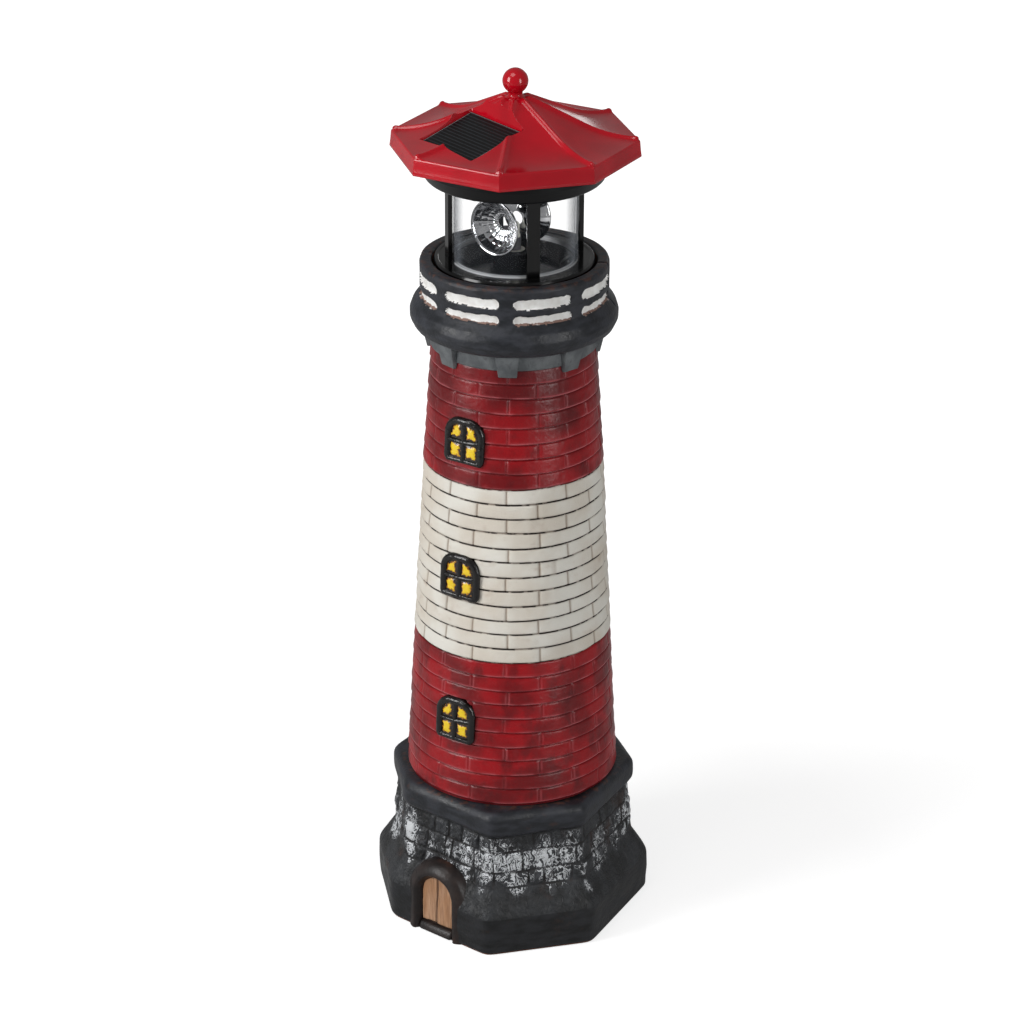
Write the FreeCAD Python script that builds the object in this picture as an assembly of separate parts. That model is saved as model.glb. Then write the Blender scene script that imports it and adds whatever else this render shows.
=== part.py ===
import FreeCAD, Part
import math
import os

# Garden lighthouse ornament: a hollow ceramic tower with a lift-out solar lamp head.
# Millimetres, +Z up, origin at the centre of the base's underside, door and windows face -Y.
# Angles round the axis are counted from -Y towards +X.

V = FreeCAD.Vector
UP = V(0, 0, 1)
CENTRE = V(0, 0, 0)
SIDES = 8
SIDE_ANGLE = 360.0 / SIDES
HALF_SIDE = SIDE_ANGLE / 2
FLAT_SHARE = math.cos(math.radians(HALF_SIDE))   # apothem over circumradius
CLOSE = 1e-3

# ---- ceramic casting -------------------------------------------------------------------
wall = 6.0                   # casting thickness

tower_foot_z = 60.0          # the round tower starts inside the base
tower_foot_r = 55.9
tower_height = 241.2         # over the base's rim
tower_top_play = 0.5         # its top is this much wider than the lamp head's pocket

rim_ledge = 10.6             # octagon's corners beyond the tower's foot
rim_thick = 13.5
rim_round = 5.2
blocks_tuck = 3.7            # wall of blocks under the rim
blocks_flare = 2.4
blocks_height = 30.3
skirt_flare = 10.3           # slope from the wall's foot out to the widest ring
skirt_edge_z = 19.0
skirt_top_z = 36.0
skirt_round = 7.0
foot_tuck = 2.9
corner_round = 9.0
corner_steps = 2             # flats that stand for one round corner
round_steps = 3              # flats through the skirt's and the rim's round edges
hollow_drop = 7.3            # rim's top down to the roof of the octagonal hollow

collar_lap = 4.0             # the collar starts this far below the tower's top
collar_height = 8.0
collar_proud = 1.0           # plain ring under the gallery
corbel_count = 8
corbel_width = 12.0
corbel_proud = 1.5
corbel_drop = 12.0           # the corbels hang this far below the collar and run out to the tower
corbel_foot_width = 8.0
corbel_turn = 29.5           # the gallery was moulded turned from the base's corners

roll_height = 17.0           # round gallery roll
roll_bulge = 4.9
roll_steps = 5               # straight stretches in the roll's half-round outline
rail_wall = 6.6              # railing round the pocket
rail_bevel = 0.9
slot_depth = 1.3
slot_length = 30.2
slot_upper_height = 5.0
slot_lower_height = 4.2
slot_margin = 5.4            # rail top down to the upper slots
slot_gap = 3.7
slot_corner = 0.33           # cut-off corners, as a share of the slot's height
slot_turn = 29.2 + HALF_SIDE  # middle of the first pair of slots

ledge = 5.0                  # ledge that the lamp head stands on
ledge_thick = 15.0
pocket_floor_lift = 6.0      # over the roll's underside

window_places = (0.1335, 0.4631, 0.7658)   # sills, as shares of the tower's height
window_width = 22.9
window_height = 24.5
window_proud = 1.7
window_border = 3.2
window_bar = 2.4
pane_depth = 2.2

door_width = 37.0            # outside of the stone surround
door_top_z = 50.0
door_depth = 14.0
door_bevel = 3.0
leaf_width = 20.6
leaf_bottom_z = 6.7
leaf_top_z = 39.2
leaf_depth = 3.2
plank_gap = 1.0
plank_gap_depth = 0.8

# ---- lamp head: shell --------------------------------------------------------------------
head_turn = 4.2              # the loose head stands turned in its pocket
skin = 2.0                   # moulded wall of the roof
shell = 1.8                  # moulded wall of the black parts

lantern_height = 42.2        # deck ring up to the dish
dish_depth = 12.1            # dish's underside up to the fascia's lower edge
fascia_height = 8.6
fascia_bottom_r = 62.5
eave_r = 61.6
peak_r = 5.5
roof_slope = 25.0            # upper half of the slopes; the lower half bends out level at the eave
rib_r = 1.5
rib_sink = 0.25              # the beads' centre line under the ridge
rib_sides = 6
roof_screw_count = 4

panel_width = 40.0           # across the slope
panel_length = 32.0          # down the slope
panel_thick = 1.6
panel_tilt = 16.5
panel_r = 27.0               # middle of the panel from the axis
panel_lift = 4.2             # over the eave
panel_gap = 0.4
panel_bevel = 0.3
pocket_draft = 9.0           # lean of the pocket's uphill wall over its height
pocket_height = 18.0
lead_hole_r = 1.5

ball_r = 6.0
ball_lift = 9.0              # over the roof's peak
neck_r = 4.2
neck_waist_r = 3.4
neck_flare = 0.1
spigot_r = 2.4
spigot_length = 5.0
socket_depth = 8.0
glue_gap = 0.05

dish_overhang = 13.1         # dish beyond the clear tube
dish_flare = 2.8
dish_lip = 0.4
dish_bevel = 0.8
dish_flange_lift = 1.1       # flange's top inside the fascia
dish_flange_thick = 1.5
dish_clear = 0.3
dish_side_height = 6.0       # where the dish's side turns upright

tube_r = 31.7
tube_wall = 1.5
tube_seat = 1.6              # depth of the groove that the tube stands in
tube_seat_lip = 0.6
tube_play = 0.3
tube_ring = 0.9              # locating ring inside the tube's top
tube_ring_play = 0.1
tube_ring_drop = 1.5

deck_ring = 6.5              # satin ring round the tube
deck_rim = 2.1
deck_bead = 1.2
deck_proud = 0.8             # over the railing's top
deck_skirt = 7.3
ring_step = 0.4              # fine steps at the ring's two edges
floor_inset = 6.7            # flat floor inside the tube
floor_sink = 7.8
pedestal_r = 10.6
pedestal_height = 9.0
pedestal_bore_r = 6.0

post_count = 4
post_turn = 45.0
post_width = 6.5
post_thick = 2.1
post_offset = 2.1            # outside the tube
post_peg_r = 0.8
post_peg_height = 1.4
post_peg_play = 0.1

# ---- lamp head: drive --------------------------------------------------------------------
gear_module = 0.5
gear_teeth = 60
pinion_teeth = 12
pressure_angle = 20.0
addendum = 0.8
dedendum = 1.15
backlash = 0.08
mesh_slack = 0.05
gear_thick = 2.8
gear_room = 7.2              # gear's underside up to the deck's floor
pinion_lap = 0.5             # the pinion reaches past the gear on both sides
pinion_gap = 2.1             # over the motor's boss
run_gap = 0.07               # running fit of the hub on the stem, and of the shaft

stem_r = 3.2
stem_bore_r = 1.9
stem_foot_r = 5.2
stem_foot_thick = 2.0
stem_reach = 9.0             # over the pedestal
stem_collar_r = 4.6
stem_collar_thick = 1.6
collar_gap = 0.3
hub_r = 5.2
yoke_gap = 0.6               # under the yoke, over the pedestal
yoke_thick = 1.8
yoke_r = 10.2
cradle_width = 6.0
cradle_height = 5.6
cradle_inner = 3.6
cradle_outer = 12.4

bowl_rim_r = 13.5
bowl_wall = 0.9
bowl_lift = 8.2              # bowls' middle over the stem's top
bowl_rim_y = 13.9            # rim plane from the pair's middle
bowl_back_y = 4.6
bowl_hole_r = 3.4
bowl_side_shift = -1.5       # the pair sits a little off the stem's centre
bowl_front_shift = 1.1
rotor_turn = -7.3            # where the lamp happened to stop

led_r = 2.5
led_flange_r = 2.9
led_flange = 1.0
led_straight = 5.6
led_pin = 0.5
led_pitch = 2.54

motor_r = 9.5
motor_height = 10.2
motor_boss_r = 3.0
motor_boss_height = 1.2
motor_ear_reach = 12.5
motor_ear_r = 2.6
motor_ear_thick = 1.2
motor_screw_length = 6.0
shaft_r = 1.0
shaft_sink = 3.0
shaft_sink_play = 0.2
shaft_top_gap = 1.9          # below the deck's floor

# ---- lamp head: base cup and what it holds ---------------------------------------------
cup_play = 2.0               # inside the ceramic pocket
deck_play = 0.7
cup_floor = 1.8
cup_bevel = 0.8
cup_top_gap = 0.2            # under the deck
cup_screw_count = 4
boss_inset = 5.5
boss_turn = 15.0             # keeps the bosses clear of motor, battery and board
boss_r = 3.2
screw_r = 1.2
screw_head_r = 2.4
screw_head = 1.5
screw_play = 0.15
bore_play = 0.02
bore_spare = 0.5             # bores go this much deeper than their screws
counterbore_depth = 3.0
counterbore_play = 0.3
well_roof = 1.4
well_wall = 1.0
screw_grip = 9.0

cell_r = 5.25
cell_length = 43.7
cell_nub_r = 1.9
cell_nub = 0.8
cell_x = -17.5
cell_gap = 0.15
cell_end_room = 4.3          # contacts and nub, both ends together
bay_wall = 1.2
contact_thick = 0.4
contact_width = 8.0
dimple_r = 1.5
spring_width = 4.0
spring_fold = 0.5

door_gap = 0.25
flap_thick = 1.5
flap_floor_gap = 0.4
hinge_pin_r = 0.7
hinge_pin_reach = 1.5
hinge_barrel_r = 1.1
hinge_gap = 0.1
hinge_drop = 1.2             # pin's height over the cup's underside
hinge_block_x = 1.9
hinge_block_y = 1.2
hinge_block_rise = 2.0
hinge_end_gap = 0.2
flap_tab_width = 7.0
flap_tab_reach = 2.0
lap = 1.0                    # how far joined forms or cutters reach into each other
sink = 0.5                   # how far pegs start inside the cup's floor

board_gap = 1.6              # from the battery bay
board_width = 23.0
board_depth = 13.6
board_clear = 0.2            # from the motor's ears
board_thick = 1.2
board_lift = 3.2
board_hole_inset = 2.6
board_screw_length = 4.0
peg_r = 2.0
small_screw_r = 0.9
small_screw_head_r = 1.8
small_screw_head = 1.0

choke_r = 3.0
choke_height = 5.2
choke_place = (5.5, -2.8)    # from the board's middle
chip_size = (4.4, 4.0, 1.6)
chip_place = (-1.0, -0.2)
capacitor_r = 2.0
capacitor_height = 5.0
capacitor_place = (-7.0, 3.6)

switch_x = 3.0
switch_y = -22.0
switch_length = 8.6
switch_width = 4.4
switch_height = 4.2
switch_travel = 2.5
switch_rail = 0.9            # rails that hold the switch on both sides
switch_rail_gap = 0.1
knob_length = 3.0
knob_width = 1.6
knob_recess = 0.3            # the knob's end stays inside the cup's floor
knob_rise = 0.5
knob_side_play = 0.4
knob_end_play = 0.3
slider_lap = 0.8             # slider past the knob, so that it can't fall out
slider_width = 2.6
slider_lift = 0.2
slider_thick = 1.2
slider_play = 0.2

# ---- sizes worked out from the above -------------------------------------------------------
rim_bottom_z = skirt_top_z + blocks_height
rim_top_z = rim_bottom_z + rim_thick
rim_r = tower_foot_r + rim_ledge
blocks_top_r = rim_r - blocks_tuck
skirt_top_r = blocks_top_r + blocks_flare
skirt_r = skirt_top_r + skirt_flare
foot_r = skirt_r - foot_tuck
hollow_top_z = rim_top_z - hollow_drop
door_face = skirt_r * FLAT_SHARE

post_r = tube_r + post_offset
deck_ring_r = tube_r + deck_ring
deck_r = deck_ring_r + deck_rim
pocket_r = deck_r + deck_play
cup_r = pocket_r - cup_play
boss_ring_r = cup_r - boss_inset
floor_r = tube_r - floor_inset
dish_bottom_r = tube_r + dish_overhang
dish_top_r = dish_bottom_r + dish_flare
dish_screw_r = (tube_r + dish_bottom_r) / 2

throat_r = pocket_r - ledge
tower_top_r = pocket_r + tower_top_play
collar_r = tower_top_r + collar_proud
corbel_r = collar_r + corbel_proud
rail_r = pocket_r + rail_wall
roll_r = rail_r + roll_bulge

tower_top_z = rim_top_z + tower_height
collar_z = tower_top_z - collar_lap
roll_bottom_z = collar_z + collar_height
roll_top_z = roll_bottom_z + roll_height
pocket_floor_z = roll_bottom_z + pocket_floor_lift
throat_z = pocket_floor_z - ledge_thick
window_bottoms = [rim_top_z + share * tower_height for share in window_places]

cup_inside_z = pocket_floor_z + cup_floor
centre_distance = gear_module * (gear_teeth + pinion_teeth) / 2 + mesh_slack
motor_top_z = cup_inside_z + motor_height
pinion_bottom_z = motor_top_z + motor_boss_height + pinion_gap
pinion_height = gear_thick + 2 * pinion_lap
gear_bottom_z = pinion_bottom_z + pinion_lap
floor_z = gear_bottom_z + gear_room
deck_z = floor_z + floor_sink
deck_skirt_z = deck_z - deck_skirt
rail_top_z = deck_z - deck_proud
pedestal_z = floor_z + pedestal_height
stem_top_z = pedestal_z + stem_reach
bowl_z = stem_top_z + bowl_lift
tube_seat_z = deck_z - tube_seat
cup_top_z = tube_seat_z - shell - cup_top_gap
yoke_z = pedestal_z + yoke_gap
well_top_z = pocket_floor_z + counterbore_depth + well_roof   # the deck's bosses stand on it

dish_bottom_z = deck_z + lantern_height
fascia_bottom_z = dish_bottom_z + dish_depth
dish_flange_z = fascia_bottom_z + dish_flange_lift
eave_z = fascia_bottom_z + fascia_height
roof_half_run = (eave_r - peak_r) / 2
roof_half_z = eave_z + roof_half_run * math.tan(math.radians(roof_slope / 2))
peak_z = roof_half_z + roof_half_run * math.tan(math.radians(roof_slope))
panel_z = eave_z + panel_lift
ball_z = peak_z + ball_lift

cell_bay_length = cell_length + cell_end_room
cell_z = pocket_floor_z + flap_thick + cell_gap + cell_r
bay_half = cell_r + cell_gap
bay_top_z = cell_z + bay_half
hinge_x = cell_x - bay_half - hinge_barrel_r - hinge_gap
hinge_z = pocket_floor_z + hinge_drop
board_z = cup_inside_z + board_lift
board_x = cell_x + bay_half + bay_wall + board_gap + board_width / 2
board_y = motor_ear_reach + motor_ear_r + board_clear + board_depth / 2


# ---- plain helpers -----------------------------------------------------------------------
def cylinder(radius, z0, z1, x=0.0, y=0.0):
    return Part.makeCylinder(radius, z1 - z0, V(x, y, z0))


def block(x0, x1, y0, y1, z0, z1):
    return Part.makeBox(x1 - x0, y1 - y0, z1 - z0, V(x0, y0, z0))


def turned(shape, degrees):
    copy = shape.copy()
    copy.rotate(CENTRE, UP, degrees)
    return copy


def moved(shape, x, y, z):
    copy = shape.copy()
    copy.translate(V(x, y, z))
    return copy


def around(shape, count, start=0.0):
    return [turned(shape, start + 360.0 * k / count) for k in range(count)]


def polygon(points):
    return Part.makePolygon(points + [points[0]])


def revolved(path):
    """Solid of revolution from (r, z) points; a triple of points in the list is an arc's end, middle, end."""
    edges = []
    last = None
    for item in path + [path[0]]:
        if isinstance(item[0], tuple):
            start, middle, end = [V(r, 0, z) for r, z in item]
            if last is not None and (last - start).Length > 1e-6:
                edges.append(Part.makeLine(last, start))
            edges.append(Part.Arc(start, middle, end).toShape())
            last = end
        else:
            point = V(item[0], 0, item[1])
            if last is not None and (last - point).Length > 1e-6:
                edges.append(Part.makeLine(last, point))
            last = point
    solid = Part.Face(Part.Wire(edges)).revolve(CENTRE, UP, 360)
    if solid.Volume < 0:
        solid.reverse()
    return solid


def octagon(circumradius, z, rounding=0.0):
    """Closed wire of an octagon with flats on the row axes; rounding turns each corner into short flats."""
    points = []
    reach = circumradius - rounding / FLAT_SHARE
    for k in range(SIDES):
        middle = HALF_SIDE + SIDE_ANGLE * k
        angle = math.radians(middle)
        centre = V(reach * math.sin(angle), -reach * math.cos(angle), z)
        if rounding == 0.0:
            points.append(centre)
            continue
        for step in range(corner_steps + 1):
            lean = math.radians(middle + SIDE_ANGLE * (step / corner_steps - 0.5))
            points.append(centre + V(rounding * math.sin(lean), -rounding * math.cos(lean), 0))
    return polygon(points)


def stacked(sections, rounding=0.0):
    """Solid through octagons given as (circumradius, z)."""
    return Part.makeLoft([octagon(r, z, rounding) for r, z in sections], True, True)


def arch(width, bottom_z, top_z, y0, y1, x=0.0):
    """Prism along Y with upright sides and a half-round top."""
    half = width / 2
    spring_z = top_z - half
    left = V(x - half, y0, bottom_z)
    right = V(x + half, y0, bottom_z)
    left_top = V(x - half, y0, spring_z)
    right_top = V(x + half, y0, spring_z)
    edges = [
        Part.makeLine(left, right),
        Part.makeLine(right, right_top),
        Part.Arc(right_top, V(x, y0, top_z), left_top).toShape(),
        Part.makeLine(left_top, left),
    ]
    return Part.Face(Part.Wire(edges)).extrude(V(0, y1 - y0, 0))


def screw(shank_r, head_r, head, length, z_head, x, y):
    """Pan-head screw that points up; z_head is the underside of its head."""
    body = cylinder(head_r, z_head - head, z_head, x, y)
    return body.fuse(cylinder(shank_r, z_head, z_head + length, x, y)).removeSplitter()


# ---- ceramic casting -----------------------------------------------------------------------
def tower_line(inset=0.0):
    """Slanted outline of the tower from foot to top."""
    return [(tower_foot_r - inset, tower_foot_z), (tower_top_r - inset, tower_top_z)]


def skirt_sections():
    """Foot, round shoulder and slope of the base's skirt, as (circumradius, z)."""
    rise = math.atan2(skirt_top_r - skirt_r, skirt_top_z - skirt_edge_z)
    start = math.atan2(skirt_r - foot_r, skirt_edge_z)
    centre_r = skirt_r - skirt_round
    sections = [(foot_r, 0.0)]
    for k in range(round_steps + 1):
        lean = start + (rise - start) * k / round_steps
        out_r = centre_r + skirt_round * math.cos(lean)
        sections.append((out_r, skirt_edge_z - skirt_round * math.sin(lean)))
    sections.append((skirt_top_r, skirt_top_z))
    return sections


def rim_sections():
    """Rim with round edges below and above, as (circumradius, z)."""
    sections = []
    for low, centre_z in ((-90, rim_bottom_z + rim_round), (0, rim_top_z - rim_round)):
        for k in range(round_steps + 1):
            lean = math.radians(low + 90 * k / round_steps)
            sections.append((rim_r - rim_round * (1 - math.cos(lean)), centre_z + rim_round * math.sin(lean)))
    return sections


def base_body():
    skirt = stacked(skirt_sections(), corner_round)
    blocks = stacked([(skirt_top_r, skirt_top_z - lap), (blocks_top_r, rim_bottom_z + lap)], corner_round)
    rim = stacked(rim_sections(), corner_round)
    return skirt, blocks, rim


def door_surround():
    back = -door_face + door_depth
    surround = arch(door_width, 0.0, door_top_z, back, -door_face)
    front = [
        edge for edge in surround.Edges
        if edge.BoundBox.YMax < -door_face + CLOSE and edge.BoundBox.ZMax > CLOSE
    ]
    return surround.makeChamfer(door_bevel, front)


def door_leaf_cut():
    face = -door_face + leaf_depth
    recess = arch(leaf_width, leaf_bottom_z, leaf_top_z, -door_face - lap, face)
    top = leaf_top_z - plank_gap
    groove = block(-plank_gap / 2, plank_gap / 2, face - lap / 2, face + plank_gap_depth, leaf_bottom_z, top)
    return [recess, groove]


def windows():
    """Raised frames that follow the tower, and the cutters of their four panes."""
    swell = revolved([(0, tower_foot_z)] + tower_line(-window_proud) + [(0, tower_top_z)])
    sink = revolved([(0, tower_foot_z)] + tower_line(pane_depth - window_proud) + [(0, tower_top_z)])
    frames = []
    cutters = []
    front = -tower_foot_r - window_proud - lap
    back = -tower_top_r / 2
    for bottom in window_bottoms:
        top = bottom + window_height
        frames.append(arch(window_width, bottom, top, front, back).common(swell))
        opening = arch(
            window_width - 2 * window_border, bottom + window_border, top - window_border, front, back,
        )
        middle = bottom + window_height / 2
        bars = [
            block(-window_bar / 2, window_bar / 2, front - lap, 0, bottom, top),
            block(
                -window_width, window_width, front - lap, 0, middle - window_bar / 2, middle + window_bar / 2,
            ),
        ]
        cutters.append(opening.cut(bars).cut(sink))
    return frames, cutters


def gallery():
    """Collar, roll and railing as one turned form."""
    half_height = (roll_top_z - roll_bottom_z) / 2
    roll = []
    for k in range(roll_steps + 1):
        lean = math.pi * (k / roll_steps - 0.5)
        root_r = collar_r + (rail_r - collar_r) * k / roll_steps
        out_r = root_r + (roll_r - root_r) * math.cos(lean)
        roll.append((out_r, roll_bottom_z + half_height * (1 + math.sin(lean))))
    return revolved([(0, collar_z), (collar_r, collar_z)] + roll + [
        (rail_r, rail_top_z - rail_bevel), (rail_r - rail_bevel, rail_top_z), (0, rail_top_z),
    ])


def corbels():
    """Wedges under the gallery, narrower and flush with the tower at their foot."""
    top_z = roll_bottom_z + lap
    head_z = collar_z
    foot_z = collar_z - corbel_drop
    back = throat_r + lap
    outlines = []
    for face_r, half, z in (
        (corbel_r, corbel_width / 2, top_z),
        (corbel_r, corbel_width / 2, head_z),
        (tower_top_r, corbel_foot_width / 2, foot_z),
    ):
        outlines.append(polygon([
            V(-half, -back, z), V(half, -back, z), V(half, -face_r, z), V(-half, -face_r, z),
        ]))
    one = Part.makeLoft(outlines, True, True)
    return around(one, corbel_count, corbel_turn)


def rail_slots():
    """Two rows of sunk slots round the railing."""
    ring = cylinder(rail_r + lap, roll_top_z - lap, rail_top_z)
    ring = ring.cut(cylinder(rail_r - slot_depth, roll_top_z - 2 * lap, rail_top_z + lap))
    upper_top = rail_top_z - slot_margin
    lower_top = upper_top - slot_upper_height - slot_gap
    slots = []
    for top, height in ((upper_top, slot_upper_height), (lower_top, slot_lower_height)):
        half = slot_length / 2
        cut = height * slot_corner
        outline = [
            V(-half, -roll_r, top - height + cut), V(-half + cut, -roll_r, top - height),
            V(half - cut, -roll_r, top - height), V(half, -roll_r, top - height + cut),
            V(half, -roll_r, top - cut), V(half - cut, -roll_r, top),
            V(-half + cut, -roll_r, top), V(-half, -roll_r, top - cut),
        ]
        slots.append(Part.Face(polygon(outline)).extrude(V(0, roll_r / 2, 0)).common(ring))
    return [piece for slot in slots for piece in around(slot, SIDES, slot_turn)]


def casting_hollow():
    """Open from the ground to the lamp head's pocket, one wall inside the outer form."""
    inset = wall / FLAT_SHARE
    base = stacked([
        (foot_r - inset, -lap),
        (skirt_r - inset, skirt_edge_z),
        (blocks_top_r - inset, skirt_top_z),
        (blocks_top_r - inset, hollow_top_z),
    ])
    foot, _ = tower_line(wall)
    above = rail_top_z + lap
    shaft = revolved([
        (0, tower_foot_z), foot, (throat_r, throat_z),
        (throat_r, pocket_floor_z), (pocket_r, pocket_floor_z), (pocket_r, above), (0, above),
    ])
    return base.fuse(shaft)


def tower_casting():
    skirt, blocks, rim = base_body()
    tower = revolved([(0, tower_foot_z)] + tower_line() + [(0, tower_top_z)])
    frames, panes = windows()
    solid = skirt.fuse([blocks, rim, tower, door_surround(), gallery()] + corbels() + frames)
    solid = solid.cut(casting_hollow())
    return solid.cut(panes + rail_slots() + door_leaf_cut()).removeSplitter()


# ---- roof --------------------------------------------------------------------------------
def roof_form(inset, drop):
    """Filled eight-sided roof with slopes that bend out; inset and drop make the inside of the moulding."""
    reach = 2 * fascia_bottom_r
    eave = (eave_r - inset) * FLAT_SHARE
    fascia = (fascia_bottom_r - inset) * FLAT_SHARE
    peak = peak_r * FLAT_SHARE
    half_way = (eave + peak) / 2
    bend_middle = V(0, -(eave + half_way) / 2, eave_z + (roof_half_z - eave_z) / 4 - drop)
    low = fascia_bottom_z - (lap if inset else 0.0)
    corner = V(0, -eave, eave_z - drop)
    bend_top = V(0, -half_way, roof_half_z - drop)
    top = V(0, -peak, peak_z - drop)
    edges = [
        Part.makeLine(V(0, reach, low), V(0, -fascia, low)),
        Part.makeLine(V(0, -fascia, low), corner),
        Part.Arc(corner, bend_middle, bend_top).toShape(),
        Part.makeLine(bend_top, top),
        Part.makeLine(top, V(0, reach, peak_z - drop)),
        Part.makeLine(V(0, reach, peak_z - drop), V(0, reach, low)),
    ]
    slope = Part.Face(Part.Wire(edges)).extrude(V(2 * reach, 0, 0))
    slope.translate(V(-reach, 0, 0))
    form, *others = around(slope, SIDES)
    for other in others:
        form = form.common(other)
    return form


def roof_ribs():
    """Beads along the ridges, many-sided in section: a bend from the eave, then straight to the peak."""
    lean = math.radians(roof_slope)
    bend_r = roof_half_run / math.sin(lean)
    start = V(0, -eave_r, eave_z - rib_sink)
    section = []
    for k in range(rib_sides):
        angle = math.radians(360 * k / rib_sides)
        section.append(start + V(rib_r * math.cos(angle), 0, rib_r * math.sin(angle)))
    face = Part.Face(polygon(section))
    pivot = start + V(0, 0, bend_r)
    bend = face.revolve(pivot, V(1, 0, 0), roof_slope)
    if bend.Volume < 0:
        bend.reverse()
    face.rotate(pivot, V(1, 0, 0), roof_slope)
    rest = face.extrude(V(0, math.cos(lean), math.sin(lean)) * (roof_half_run / math.cos(lean)))
    return around(bend.fuse(rest).removeSplitter(), SIDES, HALF_SIDE)


def on_panel_slope(shape):
    """Place a shape drawn flat at the origin, downhill along -Y, on the solar panel's slope."""
    placed = shape.copy()
    placed.rotate(CENTRE, V(1, 0, 0), panel_tilt)
    placed.translate(V(0, -panel_r, panel_z))
    return turned(placed, -HALF_SIDE)


def panel_pocket(grow):
    """Pocket over the panel; its uphill wall leans back towards the finial."""
    half_length = panel_length / 2 + panel_gap + grow
    half_width = panel_width / 2 + panel_gap + grow
    depth = panel_thick + grow
    side = [
        V(-half_width, -half_length, -depth),
        V(-half_width, half_length, -depth),
        V(-half_width, half_length, 0),
        V(-half_width, half_length + pocket_draft, pocket_height),
        V(-half_width, -half_length, pocket_height),
    ]
    return on_panel_slope(Part.Face(polygon(side)).extrude(V(2 * half_width, 0, 0)))


def roof_bosses(filled):
    boss = cylinder(boss_r, dish_bottom_z + shell, peak_z, 0, -dish_screw_r)
    return [piece.common(filled) for piece in around(boss, roof_screw_count)]


def roof_cap():
    outside = roof_form(0.0, 0.0).fuse(roof_ribs()).cut(panel_pocket(0.0))
    inside = roof_form(skin / FLAT_SHARE, skin).cut(panel_pocket(skin))
    cap = outside.cut(inside)
    pilot = cylinder(screw_r + bore_play, dish_bottom_z, dish_bottom_z + shell + screw_grip, 0, -dish_screw_r)
    below = roof_form(0.0, 0.0).cut(panel_pocket(0.0))
    below = below.fuse(cylinder(dish_bottom_r - shell, dish_bottom_z + shell, fascia_bottom_z + lap))
    cap = cap.fuse(roof_bosses(below))
    cap = cap.cut(around(pilot, roof_screw_count))
    lead = on_panel_slope(cylinder(lead_hole_r, -3 * skin, lap, 0, 0))
    socket = cylinder(spigot_r + glue_gap, peak_z - socket_depth, ball_z)
    seat = cylinder(neck_r + glue_gap, peak_z, ball_z)
    return cap.cut([lead, socket, seat]).removeSplitter()


def finial():
    neck_top = ball_z - math.sqrt(ball_r ** 2 - neck_waist_r ** 2)
    ball_arc = ((neck_waist_r, neck_top), (ball_r, ball_z), (0, ball_z + ball_r))
    flare = (
        (neck_r, peak_z),
        (neck_waist_r + neck_flare, (peak_z + neck_top) / 2),
        (neck_waist_r, neck_top),
    )
    return revolved([
        (0, peak_z - spigot_length), (spigot_r, peak_z - spigot_length), (spigot_r, peak_z), flare, ball_arc,
    ])


def solar_panel():
    plate = block(-panel_width / 2, panel_width / 2, -panel_length / 2, panel_length / 2, -panel_thick, 0)
    plate = plate.makeChamfer(panel_bevel, [edge for edge in plate.Edges if edge.BoundBox.ZMin > -CLOSE])
    return on_panel_slope(plate)


def roof_dish():
    shoulder_z = dish_bottom_z + dish_side_height
    side_r = dish_top_r - dish_lip
    cup = revolved([
        (0, dish_bottom_z), (dish_bottom_r - dish_bevel, dish_bottom_z),
        (dish_bottom_r, dish_bottom_z + dish_bevel), (side_r, shoulder_z),
        (dish_top_r, dish_flange_z), (dish_top_r - shell, dish_flange_z),
        (side_r - shell, shoulder_z), (dish_bottom_r - shell, dish_bottom_z + shell),
        (0, dish_bottom_z + shell),
    ])
    flange_low = dish_flange_z - dish_flange_thick
    flange = Part.Face(octagon(fascia_bottom_r - skin / FLAT_SHARE - dish_clear, flange_low))
    flange = flange.extrude(V(0, 0, dish_flange_thick))
    flange = flange.cut(cylinder(dish_top_r - shell / 2, flange_low - lap, dish_flange_z + lap))
    ring_r = tube_r - tube_wall - tube_ring_play
    ring = cylinder(ring_r, dish_bottom_z - tube_ring_drop, dish_bottom_z + shell / 2)
    inner_r = ring_r - tube_ring
    ring = ring.cut(cylinder(inner_r, dish_bottom_z - tube_ring_drop - lap, dish_bottom_z + shell / 2))
    hole = cylinder(screw_r + screw_play, dish_bottom_z - lap, dish_bottom_z + shell + lap, 0, -dish_screw_r)
    peg_top = dish_bottom_z + post_peg_height + post_peg_play
    peg_hole = cylinder(post_peg_r + glue_gap, dish_bottom_z - lap, peg_top, 0, -post_r)
    holes = around(hole, roof_screw_count) + around(peg_hole, post_count, post_turn)
    return cup.fuse([flange, ring]).cut(holes).removeSplitter()


def roof_screws():
    one = screw(screw_r, screw_head_r, screw_head, screw_grip, dish_bottom_z, 0, -dish_screw_r)
    return Part.makeCompound(around(one, roof_screw_count))


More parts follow.
